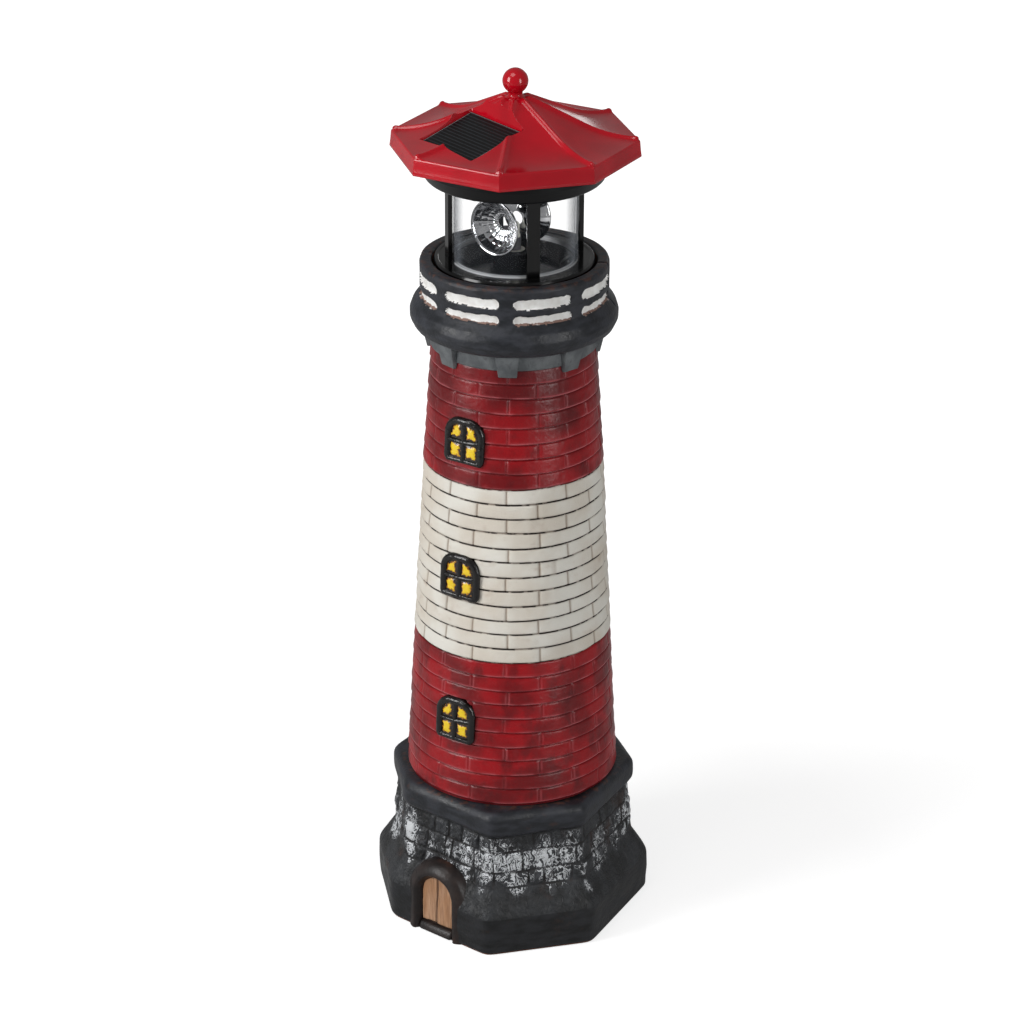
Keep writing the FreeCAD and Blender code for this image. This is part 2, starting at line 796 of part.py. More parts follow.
# ---- lantern room --------------------------------------------------------------------------
def lantern_deck():
    """Ring, dished floor and pedestal in one turned form, with the posts and the screw bosses."""
    tube_inner = tube_r - tube_wall
    seat_r = tube_inner - tube_seat_lip
    under = tube_seat_z - shell
    ring_z = deck_z - ring_step
    deck = revolved([
        (pedestal_bore_r, floor_z - shell), (floor_r, floor_z - shell), (seat_r, under),
        (cup_r + tube_play, under), (cup_r + tube_play, deck_skirt_z), (deck_r, deck_skirt_z),
        (deck_r, deck_z - deck_bead), (deck_r - deck_bead / 2, deck_z), (deck_ring_r, deck_z),
        (deck_ring_r - ring_step, ring_z), (tube_r + tube_play, ring_z), (tube_r + tube_play, tube_seat_z),
        (seat_r - tube_seat_lip, tube_seat_z), (floor_r, floor_z),
        (pedestal_r, floor_z), (pedestal_r, pedestal_z), (pedestal_bore_r, pedestal_z),
    ])
    half = post_thick / 2
    post = block(-post_width / 2, post_width / 2, -post_r - half, -post_r + half, deck_z - lap, dish_bottom_z)
    peg = cylinder(post_peg_r, dish_bottom_z - sink, dish_bottom_z + post_peg_height, 0, -post_r)
    boss = cylinder(boss_r, well_top_z, tube_seat_z - shell / 2, 0, -boss_ring_r)
    pilot_top = pocket_floor_z + counterbore_depth + screw_grip + bore_spare
    pilot = cylinder(screw_r + bore_play, cup_inside_z, pilot_top, 0, -boss_ring_r)
    parts = around(post, post_count, post_turn) + around(peg, post_count, post_turn)
    parts += around(boss, cup_screw_count, boss_turn)
    return deck.fuse(parts).cut(around(pilot, cup_screw_count, boss_turn)).removeSplitter()


def clear_tube():
    outer = cylinder(tube_r, tube_seat_z, dish_bottom_z)
    return outer.cut(cylinder(tube_r - tube_wall, tube_seat_z - lap, dish_bottom_z + lap))


# ---- drive -----------------------------------------------------------------------------------
def involute(angle):
    return math.tan(angle) - angle


def toothed_disc(teeth, z0, height, phase):
    """Spur gear with involute flanks; phase turns its first tooth from +X, in tooth pitches."""
    pitch_r = gear_module * teeth / 2
    base_r = pitch_r * math.cos(math.radians(pressure_angle))
    tip_r = pitch_r + addendum * gear_module
    root_r = pitch_r - dedendum * gear_module
    at_pitch = math.pi / (2 * teeth) - backlash / (2 * pitch_r) + involute(math.radians(pressure_angle))
    flank_r = max(base_r, root_r)

    def half_angle(r):
        return at_pitch - involute(math.acos(min(1.0, base_r / r)))

    def point(r, angle):
        return V(r * math.cos(angle), r * math.sin(angle), z0)

    middle_r = (flank_r + tip_r) / 2
    edges = []
    for k in range(teeth):
        axis = 2 * math.pi * (k + phase) / teeth
        step = 2 * math.pi / teeth
        low = half_angle(flank_r)
        rise = Part.Arc(
            point(flank_r, axis - low), point(middle_r, axis - half_angle(middle_r)),
            point(tip_r, axis - half_angle(tip_r)),
        )
        fall = Part.Arc(
            point(tip_r, axis + half_angle(tip_r)), point(middle_r, axis + half_angle(middle_r)),
            point(flank_r, axis + low),
        )
        if root_r < flank_r:
            edges.append(Part.makeLine(point(root_r, axis - low), point(flank_r, axis - low)))
        edges.append(rise.toShape())
        edges.append(Part.makeLine(rise.EndPoint, fall.StartPoint))
        edges.append(fall.toShape())
        if root_r < flank_r:
            edges.append(Part.makeLine(point(flank_r, axis + low), point(root_r, axis + low)))
        edges.append(Part.makeLine(point(root_r, axis + low), point(root_r, axis + step - low)))
    return Part.Face(Part.Wire(edges)).extrude(V(0, 0, height))


def led_stem():
    foot = cylinder(stem_foot_r, cup_inside_z, cup_inside_z + stem_foot_thick)
    tube = cylinder(stem_r, cup_inside_z, stem_top_z)
    collar_top = gear_bottom_z - collar_gap
    collar = cylinder(stem_collar_r, collar_top - stem_collar_thick, collar_top)
    bore = cylinder(stem_bore_r, cup_inside_z - lap, stem_top_z + lap)
    return foot.fuse([tube, collar]).cut(bore).removeSplitter()


def led():
    flange = cylinder(led_flange_r, stem_top_z, stem_top_z + led_flange)
    lens = cylinder(led_r, stem_top_z, stem_top_z + led_straight)
    dome = Part.makeSphere(led_r, V(0, 0, stem_top_z + led_straight))
    pins = []
    for side in (-1, 1):
        x = side * led_pitch / 2
        half = led_pin / 2
        pins.append(block(x - half, x + half, -half, half, board_z, stem_top_z + led_flange / 2))
    return flange.fuse([lens, dome] + pins).removeSplitter()


def rotor_gear():
    disc = toothed_disc(gear_teeth, gear_bottom_z, gear_thick, 0.0)
    hub = cylinder(hub_r, gear_bottom_z, yoke_z + yoke_thick)
    bore = cylinder(stem_r + run_gap, gear_bottom_z - lap, yoke_z + yoke_thick + lap)
    return disc.fuse(hub).cut(bore).removeSplitter()


def bowl_sphere():
    """Radius of the bowl's mirror face and where its centre lies in front of the pair's middle."""
    depth = bowl_rim_y - bowl_back_y - bowl_wall
    radius = (bowl_rim_r ** 2 + depth ** 2) / (2 * depth)
    return radius, bowl_back_y + bowl_wall + radius


def bowl_arc(radius, centre, r_inner, r_outer):
    points = [r_inner, (r_inner + r_outer) / 2, r_outer]
    return tuple((r, centre - math.sqrt(radius ** 2 - r ** 2)) for r in points)


def facing_front(form):
    """Turn a form made round +Z so that it faces -Y, at the bowls' height and place."""
    form.rotate(CENTRE, V(1, 0, 0), 90)
    return moved(form, 0, 0, bowl_z)


def bowl():
    radius, centre = bowl_sphere()
    back_r = radius + bowl_wall
    rim_outer = math.sqrt(back_r ** 2 - (centre - bowl_rim_y) ** 2)
    back = bowl_arc(back_r, centre, bowl_hole_r, rim_outer)
    mirror = bowl_arc(radius, centre, bowl_hole_r, bowl_rim_r)
    return facing_front(revolved([back[0], back, mirror[::-1]]))


def bowl_room():
    """Ball that fills the bowl's back form, to shape the yoke's cradles."""
    radius, centre = bowl_sphere()
    return Part.makeSphere(radius + bowl_wall + glue_gap, V(0, -centre, bowl_z))


def off_centre(shape):
    return turned(moved(shape, bowl_side_shift, -bowl_front_shift, 0), rotor_turn)


def reflector_yoke():
    plate = cylinder(yoke_r, yoke_z, yoke_z + yoke_thick)
    top = yoke_z + yoke_thick + cradle_height
    cradle = block(
        -cradle_width / 2, cradle_width / 2, -cradle_outer, -cradle_inner, yoke_z + yoke_thick / 2, top,
    )
    cradles = [off_centre(piece) for piece in around(cradle.cut(bowl_room()), 2)]
    bore = cylinder(hub_r + glue_gap, yoke_z - lap, top + lap)
    return plate.fuse(cradles).cut(bore).removeSplitter()


def drive_pinion():
    disc = toothed_disc(pinion_teeth, pinion_bottom_z, pinion_height, 0.5)
    bore = cylinder(shaft_r + bore_play, pinion_bottom_z - lap, pinion_bottom_z + pinion_height + lap)
    disc = disc.cut(bore)
    return moved(disc, centre_distance, 0, 0)


def motor_shaft():
    top = floor_z - shell - shaft_top_gap
    return cylinder(shaft_r, motor_top_z + motor_boss_height - shaft_sink, top, centre_distance)


def gear_motor():
    can = cylinder(motor_r, cup_inside_z, motor_top_z, centre_distance)
    boss_top = motor_top_z + motor_boss_height
    boss = cylinder(motor_boss_r, motor_top_z - motor_ear_thick, boss_top, centre_distance)
    ear_z = motor_top_z - motor_ear_thick
    ears = []
    holes = []
    for x, y in motor_screw_places():
        strap = block(x - motor_ear_r, x + motor_ear_r, min(0, y), max(0, y), ear_z, motor_top_z)
        ears.append(strap.fuse(cylinder(motor_ear_r, ear_z, motor_top_z, x, y)))
        holes.append(cylinder(small_screw_r + screw_play, ear_z - lap, motor_top_z + lap, x, y))
    sink_z = boss_top - shaft_sink - shaft_sink_play
    holes.append(cylinder(shaft_r + run_gap, sink_z, boss_top + lap, centre_distance))
    return can.fuse([boss] + ears).cut(holes).removeSplitter()


def down_screw(x, y, seat_z, length):
    """Small screw that points down from seat_z."""
    head = cylinder(small_screw_head_r, seat_z, seat_z + small_screw_head, x, y)
    return head.fuse(cylinder(small_screw_r, seat_z - length, seat_z, x, y)).removeSplitter()


def motor_screw_places():
    return [(centre_distance, side * motor_ear_reach) for side in (-1, 1)]


def motor_screws():
    places = motor_screw_places()
    return Part.makeCompound([down_screw(x, y, motor_top_z, motor_screw_length) for x, y in places])


# ---- base cup --------------------------------------------------------------------------------
def board_peg_places():
    x = board_width / 2 - board_hole_inset
    y = board_depth / 2 - board_hole_inset
    return [(board_x - x, board_y - y), (board_x + x, board_y + y)]


def cell_bay(grow, z0, z1):
    half = bay_half + grow
    length = cell_bay_length / 2 + grow
    return block(cell_x - half, cell_x + half, -length, length, z0, z1)


def flap_outline(grow, z0, z1):
    """Battery door's plate and its finger tab; grow makes the hole in the cup's floor."""
    right = cell_x + bay_half
    length = cell_bay_length / 2 - door_gap
    plate = block(hinge_x, right + grow, -length - grow, length + grow, z0, z1)
    tab_half = flap_tab_width / 2 + grow
    tab = block(right - lap, right + flap_tab_reach + grow, -tab_half, tab_half, z0, z1)
    return plate.fuse(tab)


def hinge_bar(radius, reach):
    """Round bar along the battery door's hinge."""
    return Part.makeCylinder(radius, 2 * reach, V(hinge_x, -reach, hinge_z), V(0, 1, 0))


def pilot(top, depth, x, y):
    return cylinder(small_screw_r + bore_play, top - depth - bore_spare, top, x, y)


def screw_wells():
    """Raised wells for the cup's four screws, and their counterbores and holes."""
    well = cylinder(boss_r + well_wall, pocket_floor_z, well_top_z, 0, -boss_ring_r)
    bore_top = pocket_floor_z + counterbore_depth
    bore = cylinder(screw_head_r + counterbore_play, pocket_floor_z - lap, bore_top, 0, -boss_ring_r)
    hole = cylinder(screw_r + screw_play, pocket_floor_z, well_top_z + lap, 0, -boss_ring_r)
    wells, bores, holes = [around(form, cup_screw_count, boss_turn) for form in (well, bore, hole)]
    return wells, bores + holes


def floor_pegs():
    """Posts for the motor's ears and the board, and their pilot holes."""
    start = pocket_floor_z + sink
    seat = motor_top_z - motor_ear_thick
    pegs = [cylinder(motor_ear_r, start, seat, x, y) for x, y in motor_screw_places()]
    pilots = [pilot(seat, motor_screw_length - motor_ear_thick, x, y) for x, y in motor_screw_places()]
    pegs += [cylinder(peg_r, start, board_z, x, y) for x, y in board_peg_places()]
    pilots += [pilot(board_z, board_screw_length - board_thick, x, y) for x, y in board_peg_places()]
    return pegs, pilots


def hinge_blocks():
    blocks = []
    for side in (-1, 1):
        y = side * (cell_bay_length / 2 + hinge_pin_reach / 2 + hinge_end_gap)
        blocks.append(block(
            hinge_x - hinge_block_x, hinge_x + hinge_block_x, y - hinge_block_y, y + hinge_block_y,
            pocket_floor_z, hinge_z + hinge_block_rise,
        ))
    return blocks


def switch_rails():
    rails = []
    for side in (-1, 1):
        near = switch_y + side * (switch_width / 2 + switch_rail_gap)
        far = near + side * switch_rail
        rails.append(block(
            switch_x - switch_length / 2, switch_x + switch_length / 2, min(near, far), max(near, far),
            pocket_floor_z + sink, cup_inside_z + switch_height / 2,
        ))
    return rails


def floor_openings():
    """Battery door's hole, its barrel and pins, and the slot of the switch."""
    low = pocket_floor_z - lap
    door = flap_outline(door_gap, low, pocket_floor_z + flap_thick + flap_floor_gap)
    barrel_room = block(
        hinge_x - hinge_barrel_r - door_gap, hinge_x + lap, -cell_bay_length / 2, cell_bay_length / 2,
        low, hinge_z + hinge_barrel_r + door_gap,
    )
    pins = hinge_bar(hinge_pin_r + run_gap, cell_bay_length / 2 + hinge_pin_reach)
    half_x = (knob_length + switch_travel) / 2 + knob_end_play
    half_y = knob_width / 2 + knob_side_play
    slot = block(
        switch_x - half_x, switch_x + half_x, switch_y - half_y, switch_y + half_y, low, cup_inside_z + lap,
    )
    return [door, barrel_room, pins, slot]


def base_housing():
    """Cup that stands in the ceramic pocket, with the battery bay and all its wells, posts and rails."""
    cup = cylinder(cup_r, pocket_floor_z, cup_top_z)
    cup = cup.cut(cylinder(cup_r - shell, cup_inside_z, cup_top_z + lap))
    rim = [edge for edge in cup.Edges if edge.BoundBox.ZMax < pocket_floor_z + CLOSE]
    cup = cup.makeChamfer(cup_bevel, rim)
    cup = cup.fuse(cell_bay(bay_wall, pocket_floor_z, bay_top_z + bay_wall))
    cup = cup.cut(cell_bay(0.0, pocket_floor_z + flap_thick, bay_top_z))
    wells, well_cuts = screw_wells()
    pegs, pilots = floor_pegs()
    cup = cup.fuse(wells + pegs + hinge_blocks() + switch_rails())
    return cup.cut(well_cuts + pilots + floor_openings()).removeSplitter()


def housing_screws():
    seat = pocket_floor_z + counterbore_depth
    one = screw(screw_r, screw_head_r, screw_head, screw_grip, seat, 0, -boss_ring_r)
    return Part.makeCompound(around(one, cup_screw_count, boss_turn))


def battery_door():
    flap = flap_outline(0.0, pocket_floor_z, pocket_floor_z + flap_thick)
    barrel = hinge_bar(hinge_barrel_r, cell_bay_length / 2 - door_gap)
    pin = hinge_bar(hinge_pin_r, cell_bay_length / 2 + hinge_pin_reach - hinge_end_gap)
    return flap.fuse([barrel, pin]).removeSplitter()


def battery():
    end = cell_length / 2
    can = Part.makeCylinder(cell_r, cell_length, V(cell_x, -end, cell_z), V(0, 1, 0))
    nub = Part.makeCylinder(cell_nub_r, cell_nub + sink, V(cell_x, end - sink, cell_z), V(0, 1, 0))
    return can.fuse(nub).removeSplitter()


def contact_plate():
    y = cell_bay_length / 2
    half = contact_width / 2
    plate = block(cell_x - half, cell_x + half, y - contact_thick, y, cell_z - half, cell_z + half)
    tip = cell_length / 2 + cell_nub
    dimple = Part.makeCylinder(dimple_r, y - contact_thick - tip, V(cell_x, tip, cell_z), V(0, 1, 0))
    return plate.fuse(dimple).removeSplitter()


def contact_spring():
    """Leaf folded into a bow that presses on the cell's flat end."""
    y = -cell_bay_length / 2
    tip = -cell_length / 2
    low = cell_z - contact_width / 2
    high = cell_z + contact_width / 2
    root = y + contact_thick / 2
    left = cell_x - spring_width / 2
    back = block(left, left + spring_width, y, y + contact_thick, low, high)
    outer = Part.Arc(V(left, root, low), V(left, tip, cell_z), V(left, root, high))
    inside_tip = V(left, tip - contact_thick, cell_z)
    inner = Part.Arc(V(left, root, high - spring_fold), inside_tip, V(left, root, low + spring_fold))
    face = Part.Face(Part.Wire([
        outer.toShape(), Part.makeLine(outer.EndPoint, inner.StartPoint),
        inner.toShape(), Part.makeLine(inner.EndPoint, outer.StartPoint),
    ]))
    return back.fuse(face.extrude(V(spring_width, 0, 0))).removeSplitter()


def circuit_board():
    top = board_z + board_thick
    board = block(
        board_x - board_width / 2, board_x + board_width / 2,
        board_y - board_depth / 2, board_y + board_depth / 2, board_z, top,
    )
    hole_r = small_screw_r + screw_play
    return board.cut([cylinder(hole_r, board_z - lap, top + lap, x, y) for x, y in board_peg_places()])


def board_parts():
    """Choke, driver chip and capacitor on the board."""
    z = board_z + board_thick
    choke_x, choke_y = choke_place
    choke = cylinder(choke_r, z, z + choke_height, board_x + choke_x, board_y + choke_y)
    length, width, height = chip_size
    chip_x, chip_y = chip_place
    chip = block(-length / 2, length / 2, -width / 2, width / 2, z, z + height)
    chip = moved(chip, board_x + chip_x, board_y + chip_y, 0)
    can_x, can_y = capacitor_place
    capacitor = cylinder(capacitor_r, z, z + capacitor_height, board_x + can_x, board_y + can_y)
    return Part.makeCompound([choke, chip, capacitor])


def board_screws():
    seat = board_z + board_thick
    return Part.makeCompound([down_screw(x, y, seat, board_screw_length) for x, y in board_peg_places()])


def switch_body():
    body = block(
        switch_x - switch_length / 2, switch_x + switch_length / 2,
        switch_y - switch_width / 2, switch_y + switch_width / 2, cup_inside_z, cup_inside_z + switch_height,
    )
    half_x = (knob_length + switch_travel) / 2 + slider_lap + slider_play
    half_y = slider_width / 2 + slider_play
    race_top = cup_inside_z + slider_lift + slider_thick + slider_play
    race = block(
        switch_x - half_x, switch_x + half_x, switch_y - half_y, switch_y + half_y,
        cup_inside_z - lap, race_top,
    )
    return body.cut(race)


def switch_knob():
    x = switch_x - switch_travel / 2
    half = knob_length / 2
    tab = block(
        x - half, x + half, switch_y - knob_width / 2, switch_y + knob_width / 2,
        pocket_floor_z + knob_recess, cup_inside_z + knob_rise,
    )
    low = cup_inside_z + slider_lift
    reach = half + slider_lap
    half_y = slider_width / 2
    slider = block(x - reach, x + reach, switch_y - half_y, switch_y + half_y, low, low + slider_thick)
    return tab.fuse(slider).removeSplitter()


# ---- build ---------------------------------------------------------------------------------
def lamp_head():
    pieces = {
        "roof_cap": roof_cap(),
        "finial": finial(),
        "solar_panel": solar_panel(),
        "roof_dish": roof_dish(),
        "roof_screws": roof_screws(),
        "lantern_deck": lantern_deck(),
        "clear_tube": clear_tube(),
        "led_stem": led_stem(),
        "led": led(),
        "rotor_gear": rotor_gear(),
        "reflector_yoke": reflector_yoke(),
        "reflector_front": off_centre(bowl()),
        "reflector_rear": off_centre(turned(bowl(), 180)),
        "drive_pinion": drive_pinion(),
        "motor_shaft": motor_shaft(),
        "gear_motor": gear_motor(),
        "motor_screws": motor_screws(),
        "base_housing": base_housing(),
        "housing_screws": housing_screws(),
        "battery_door": battery_door(),
        "battery": battery(),
        "contact_plate": contact_plate(),
        "contact_spring": contact_spring(),
        "circuit_board": circuit_board(),
        "board_parts": board_parts(),
        "board_screws": board_screws(),
        "switch_body": switch_body(),
        "switch_knob": switch_knob(),
    }
    return {name: turned(shape, head_turn) for name, shape in pieces.items()}


def main():
    os.makedirs("parts", exist_ok=True)
    nodes = {"tower_casting": tower_casting()}
    nodes.update(lamp_head())
    for name, shape in nodes.items():
        shape.exportStep(os.path.join("parts", name + ".step"))
        print(name, len(shape.Solids), "solid", round(shape.Volume), "mm3", shape.isValid())


main()
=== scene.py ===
import math
import random

import bpy
import numpy as np
from mathutils import Matrix, Vector


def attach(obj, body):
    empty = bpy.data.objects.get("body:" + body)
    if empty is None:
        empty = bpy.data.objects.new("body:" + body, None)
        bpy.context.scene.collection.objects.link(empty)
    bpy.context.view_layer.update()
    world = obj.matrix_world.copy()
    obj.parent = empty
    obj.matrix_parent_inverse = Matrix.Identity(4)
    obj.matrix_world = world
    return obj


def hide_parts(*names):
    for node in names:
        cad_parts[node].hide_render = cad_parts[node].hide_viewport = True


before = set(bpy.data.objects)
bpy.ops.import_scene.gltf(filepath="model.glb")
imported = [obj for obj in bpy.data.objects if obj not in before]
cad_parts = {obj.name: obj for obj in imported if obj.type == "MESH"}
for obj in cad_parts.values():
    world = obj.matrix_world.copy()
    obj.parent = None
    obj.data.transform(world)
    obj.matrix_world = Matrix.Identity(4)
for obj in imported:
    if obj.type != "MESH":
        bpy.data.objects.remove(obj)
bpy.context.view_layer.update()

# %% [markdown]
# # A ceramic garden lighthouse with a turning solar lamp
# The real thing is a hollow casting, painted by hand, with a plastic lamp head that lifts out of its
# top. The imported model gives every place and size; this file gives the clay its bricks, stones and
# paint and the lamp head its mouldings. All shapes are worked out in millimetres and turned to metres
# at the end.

MM = 0.001
SIDES, FULL_TURN = 8, 360.0
SIDE_TURN = FULL_TURN / SIDES        # degrees from one side of an octagon to the next
HALF_SIDE = math.radians(SIDE_TURN / 2)
HEAD_TURN = 4.2                      # degrees; the loose head stands turned in its pocket
LATTICE = np.random.RandomState(11).rand(32, 32, 32)


def linear(hex_colour):
    """sRGB hex to the linear colour that shaders use."""
    channels = [int(hex_colour[k:k + 2], 16) / 255 for k in (0, 2, 4)]
    return tuple(c / 12.92 if c <= 0.04045 else ((c + 0.055) / 1.055) ** 2.4 for c in channels) + (1.0,)


def lumps(points, size, shift=0):
    """Smooth random values from 0 to 1 at points in mm, with lumps about `size` mm wide."""
    cell = points / size + shift * 7.3
    low = np.floor(cell).astype(int)
    part = cell - low
    part = part * part * (3 - 2 * part)
    total = np.zeros(points.shape[:-1])
    for corner in range(8):
        step = [corner & 1, corner >> 1 & 1, corner >> 2]
        weight = np.ones(points.shape[:-1])
        for axis in range(3):
            weight = weight * (part[..., axis] if step[axis] else 1 - part[..., axis])
        index = [(low[..., axis] + step[axis]) % 32 for axis in range(3)]
        total += weight * LATTICE[index[0], index[1], index[2]]
    return total


def smooth_step(low, high, value):
    """Goes softly from 0 at `low` to 1 at `high`."""
    t = np.clip((value - low) / (high - low), 0, 1)
    return t * t * (3 - 2 * t)


def off_nearest(angle, spacing=SIDE_TURN):
    """Degrees from the nearest multiple of a spacing, less than 0 before it."""
    return (angle + spacing / 2) % spacing - spacing / 2


def turned(points, turn):
    """Points turned round the upright axis by an angle in radians."""
    x, y, z = np.moveaxis(np.asarray(points, float), -1, 0)
    c, s = math.cos(turn), math.sin(turn)
    return np.stack([x * c - y * s, x * s + y * c, z], axis=-1)


print("lattice mean", round(float(LATTICE.mean()), 3))

# %% [markdown]
# ## Meshes from grids
# Cast clay has no sharp parts, so most pieces here are one grid of points: rows go up an outline and
# columns go round the axis. A height is added to each point, and the same sums give masks for the
# paint, so that brush marks and grime follow the relief exactly.

# %% Grid, ring and sweep helpers
def new_piece(name, mesh, body, materials, replaces=()):
    piece = bpy.data.objects.new(name, mesh)
    bpy.context.scene.collection.objects.link(piece)
    for material in materials:
        mesh.materials.append(material)
    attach(piece, body)
    if replaces:
        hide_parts(*replaces)
    print(name, len(mesh.vertices), "points")
    return piece


def clay_piece(name, mesh, materials, replaces=()):
    """Piece of the casting, which all stands still."""
    return new_piece(name, mesh, "tower", materials, replaces)


def grid_mesh(name, points, closed_round=True, closed_up=False, masks=None, zones=None):
    """Mesh of a grid of points in mm, as rows x columns x 3; zones gives each row of faces its material."""
    rows, columns, _ = points.shape
    up = np.arange(rows if closed_up else rows - 1)[:, None]
    along = np.arange(columns if closed_round else columns - 1)[None, :]
    next_up, next_along = (up + 1) % rows, (along + 1) % columns
    corners = ((up, along), (up, next_along), (next_up, next_along), (next_up, along))
    faces = np.stack([row * columns + column for row, column in corners], axis=-1).reshape(-1, 4)
    mesh = bpy.data.meshes.new(name)
    mesh.vertices.add(rows * columns)
    mesh.vertices.foreach_set("co", (points * MM).astype(np.float32).ravel())
    mesh.loops.add(faces.size)
    mesh.loops.foreach_set("vertex_index", faces.astype(np.int32).ravel())
    mesh.polygons.add(len(faces))
    mesh.polygons.foreach_set("loop_start", np.arange(0, faces.size, 4, dtype=np.int32))
    mesh.polygons.foreach_set("use_smooth", np.full(len(faces), True))
    if zones is not None:
        by_face = np.repeat(np.asarray(zones, np.int32), along.shape[1])
        mesh.polygons.foreach_set("material_index", by_face)
    for mask_name, values in (masks or {}).items():
        attribute = mesh.attributes.new(mask_name, "FLOAT", "POINT")
        by_point = np.broadcast_to(values, (rows, columns)).astype(np.float32)
        attribute.data.foreach_set("value", by_point.ravel())
    mesh.update()
    mesh.validate()
    return mesh


def ring_points(radius, height, angle):
    """Points round the axis; angles are in degrees, counted from the door side, -Y, towards +X."""
    turn = np.radians(angle)
    radius, height, turn = np.broadcast_arrays(radius, height, turn)
    return np.stack([radius * np.sin(turn), -radius * np.cos(turn), height], axis=-1)


def lengths_along(outline):
    """How far along an outline each of its points lies."""
    return np.concatenate([[0], np.cumsum(np.hypot(*np.diff(outline, axis=0).T))])


def points_at(outline, places):
    """Points of an outline at some lengths along it."""
    lengths = lengths_along(outline)
    return np.stack([np.interp(places, lengths, outline[:, k]) for k in (0, 1)], axis=-1)


def softened(outline, reach, step):
    """Outline of (r, z) points, one every `step` mm, its corners rounded over about `reach` mm."""
    outline = np.asarray(outline, float)
    dense = points_at(outline, np.arange(0, lengths_along(outline)[-1], step / 4))
    width = max(1, int(reach / (step / 4)))
    padded = np.concatenate([np.repeat(dense[:1], width, 0), dense, np.repeat(dense[-1:], width, 0)])
    kernel = np.hanning(2 * width + 1)
    kernel /= kernel.sum()
    soft = np.stack([np.convolve(padded[:, k], kernel, "valid") for k in (0, 1)], axis=-1)
    return soft[::4]


print("grid helpers ready")

# %% [markdown]
# ## Shaders
# Every finish starts from one Principled shader. One function fills a node's inputs with values or
# links, and one adds a node. The others are recipes: `patches` is an uneven pattern, noise that is
# stretched and cut off softly, `two_tones` lays it between two near colours, `layered` paints over
# them, and `surface` gives the shader its colour, roughness and relief.

# %% Node helpers
def fill(tree, node, inputs):
    """Sets a node's inputs; one that is given as a socket is linked."""
    for name, value in inputs.items():
        if isinstance(value, bpy.types.NodeSocket):
            tree.links.new(value, node.inputs[name])
        else:
            node.inputs[name].default_value = value


def add(tree, kind, output, inputs, **settings):
    """Adds a node with its settings and inputs, and gives back one of its outputs."""
    node = tree.nodes.new("ShaderNode" + kind)
    for name, value in settings.items():
        setattr(node, name, value)
    fill(tree, node, inputs)
    return node.outputs[output]


def begin(name):
    """New material with its node tree, its shader and the frame's own coordinates."""
    material = bpy.data.materials.new(name)
    material.use_nodes = True
    tree = material.node_tree
    place = add(tree, "TexCoord", "Object", {})
    return material, tree, tree.nodes["Principled BSDF"], place


def patches(tree, place, size, low=0.0, high=1.0, detail=3.0, stretch=(1, 1, 1)):
    """Pattern from 0 to 1 with patches about `size` mm wide; a stretch under 1 draws them out that way."""
    drawn = add(tree, "Mapping", "Vector", {"Vector": place, "Scale": stretch})
    raw = add(tree, "TexNoise", "Fac", {"Vector": drawn, "Scale": 1 / (size * MM), "Detail": detail})
    return add(tree, "MapRange", "Result", {
        "Value": raw, "From Min": low, "From Max": high,
    }, interpolation_type="SMOOTHSTEP")


def two_tones(tree, place, first, second, *pattern):
    """Two near tones of one colour in soft patches, since nothing painted or moulded is one flat colour."""
    return add(tree, "MixRGB", "Color", {
        "Fac": patches(tree, place, *pattern), "Color1": linear(first), "Color2": linear(second),
    })


def layered(tree, colour, *layers):
    """Paints layers over a colour; each is (hex colour, how opaque at most, pattern or mask's name)."""
    for over, opacity, pattern in layers:
        if isinstance(pattern, str):
            pattern = add(tree, "Attribute", "Fac", {}, attribute_name=pattern)
        amount = add(tree, "Math", "Value", {0: pattern, 1: opacity}, operation="MULTIPLY")
        colour = add(tree, "MixRGB", "Color", {"Fac": amount, "Color1": colour, "Color2": linear(over)})
    return colour


def surface(tree, shader, colour, roughness, relief, depth, more=None):
    """Colour, roughness and a relief of `depth` mm for the shader; `more` holds its other inputs."""
    normal = add(tree, "Bump", "Normal", {"Height": relief, "Distance": depth * MM})
    fill(tree, shader, {"Base Color": colour, "Roughness": roughness, "Normal": normal, **(more or {})})


print("finish tools ready")


# %% [markdown]
# ## Paint on fired clay
# The tower's red is a glossy lacquer brushed thin: it pools darker in the joints and turns brownish towards
# the top, where a dark wash was left on. The pale lines along the bricks' lower edges and beside their
# upright joints are painted highlight. The white is a matt emulsion, and a dark-brown wash was wiped over
# it, which stayed only in the grooves under each course.

# %% Red lacquer and white emulsion
def red_lacquer():
    """Alkyd lacquer, brushed: IOR 1.5, glossy over a rough ground."""
    material, tree, shader, place = begin("Red_lacquer_on_clay")
    colour = two_tones(tree, place, "6C050C", "990813", 24, 0.36, 0.64, 2.0)
    high = add(tree, "SeparateXYZ", "Z", {"Vector": place})
    high = add(tree, "MapRange", "Result", {
        "Value": high, "From Min": 262 * MM, "From Max": 318 * MM,
    })
    strokes = patches(tree, place, 8, 0.50, 0.72, 4.0, (1.0, 1.0, 0.6))
    old = add(tree, "MixRGB", "Color", {"Fac": high, "Color1": strokes, "Color2": (0.85, 0.85, 0.85, 1.0)})
    scuffs = patches(tree, place, 3.5, 0.60, 0.76, 5.0, (0.6, 0.6, 1.6))
    colour = layered(
        tree, colour,
        ("48090E", 0.55, old),
        ("9A2A30", 0.25, scuffs),
        ("48080E", 0.60, "grout"),
        # Painted highlight: pale pink lines along each brick's lower edge and beside the upright joints.
        ("CC6A70", 0.75, "edge_wear_and_highlight"),
    )
    relief = patches(tree, place, 2.4, detail=4.0)
    surface(tree, shader, colour, 0.34, relief, 0.16, {"Specular IOR Level": 0.36})
    return material


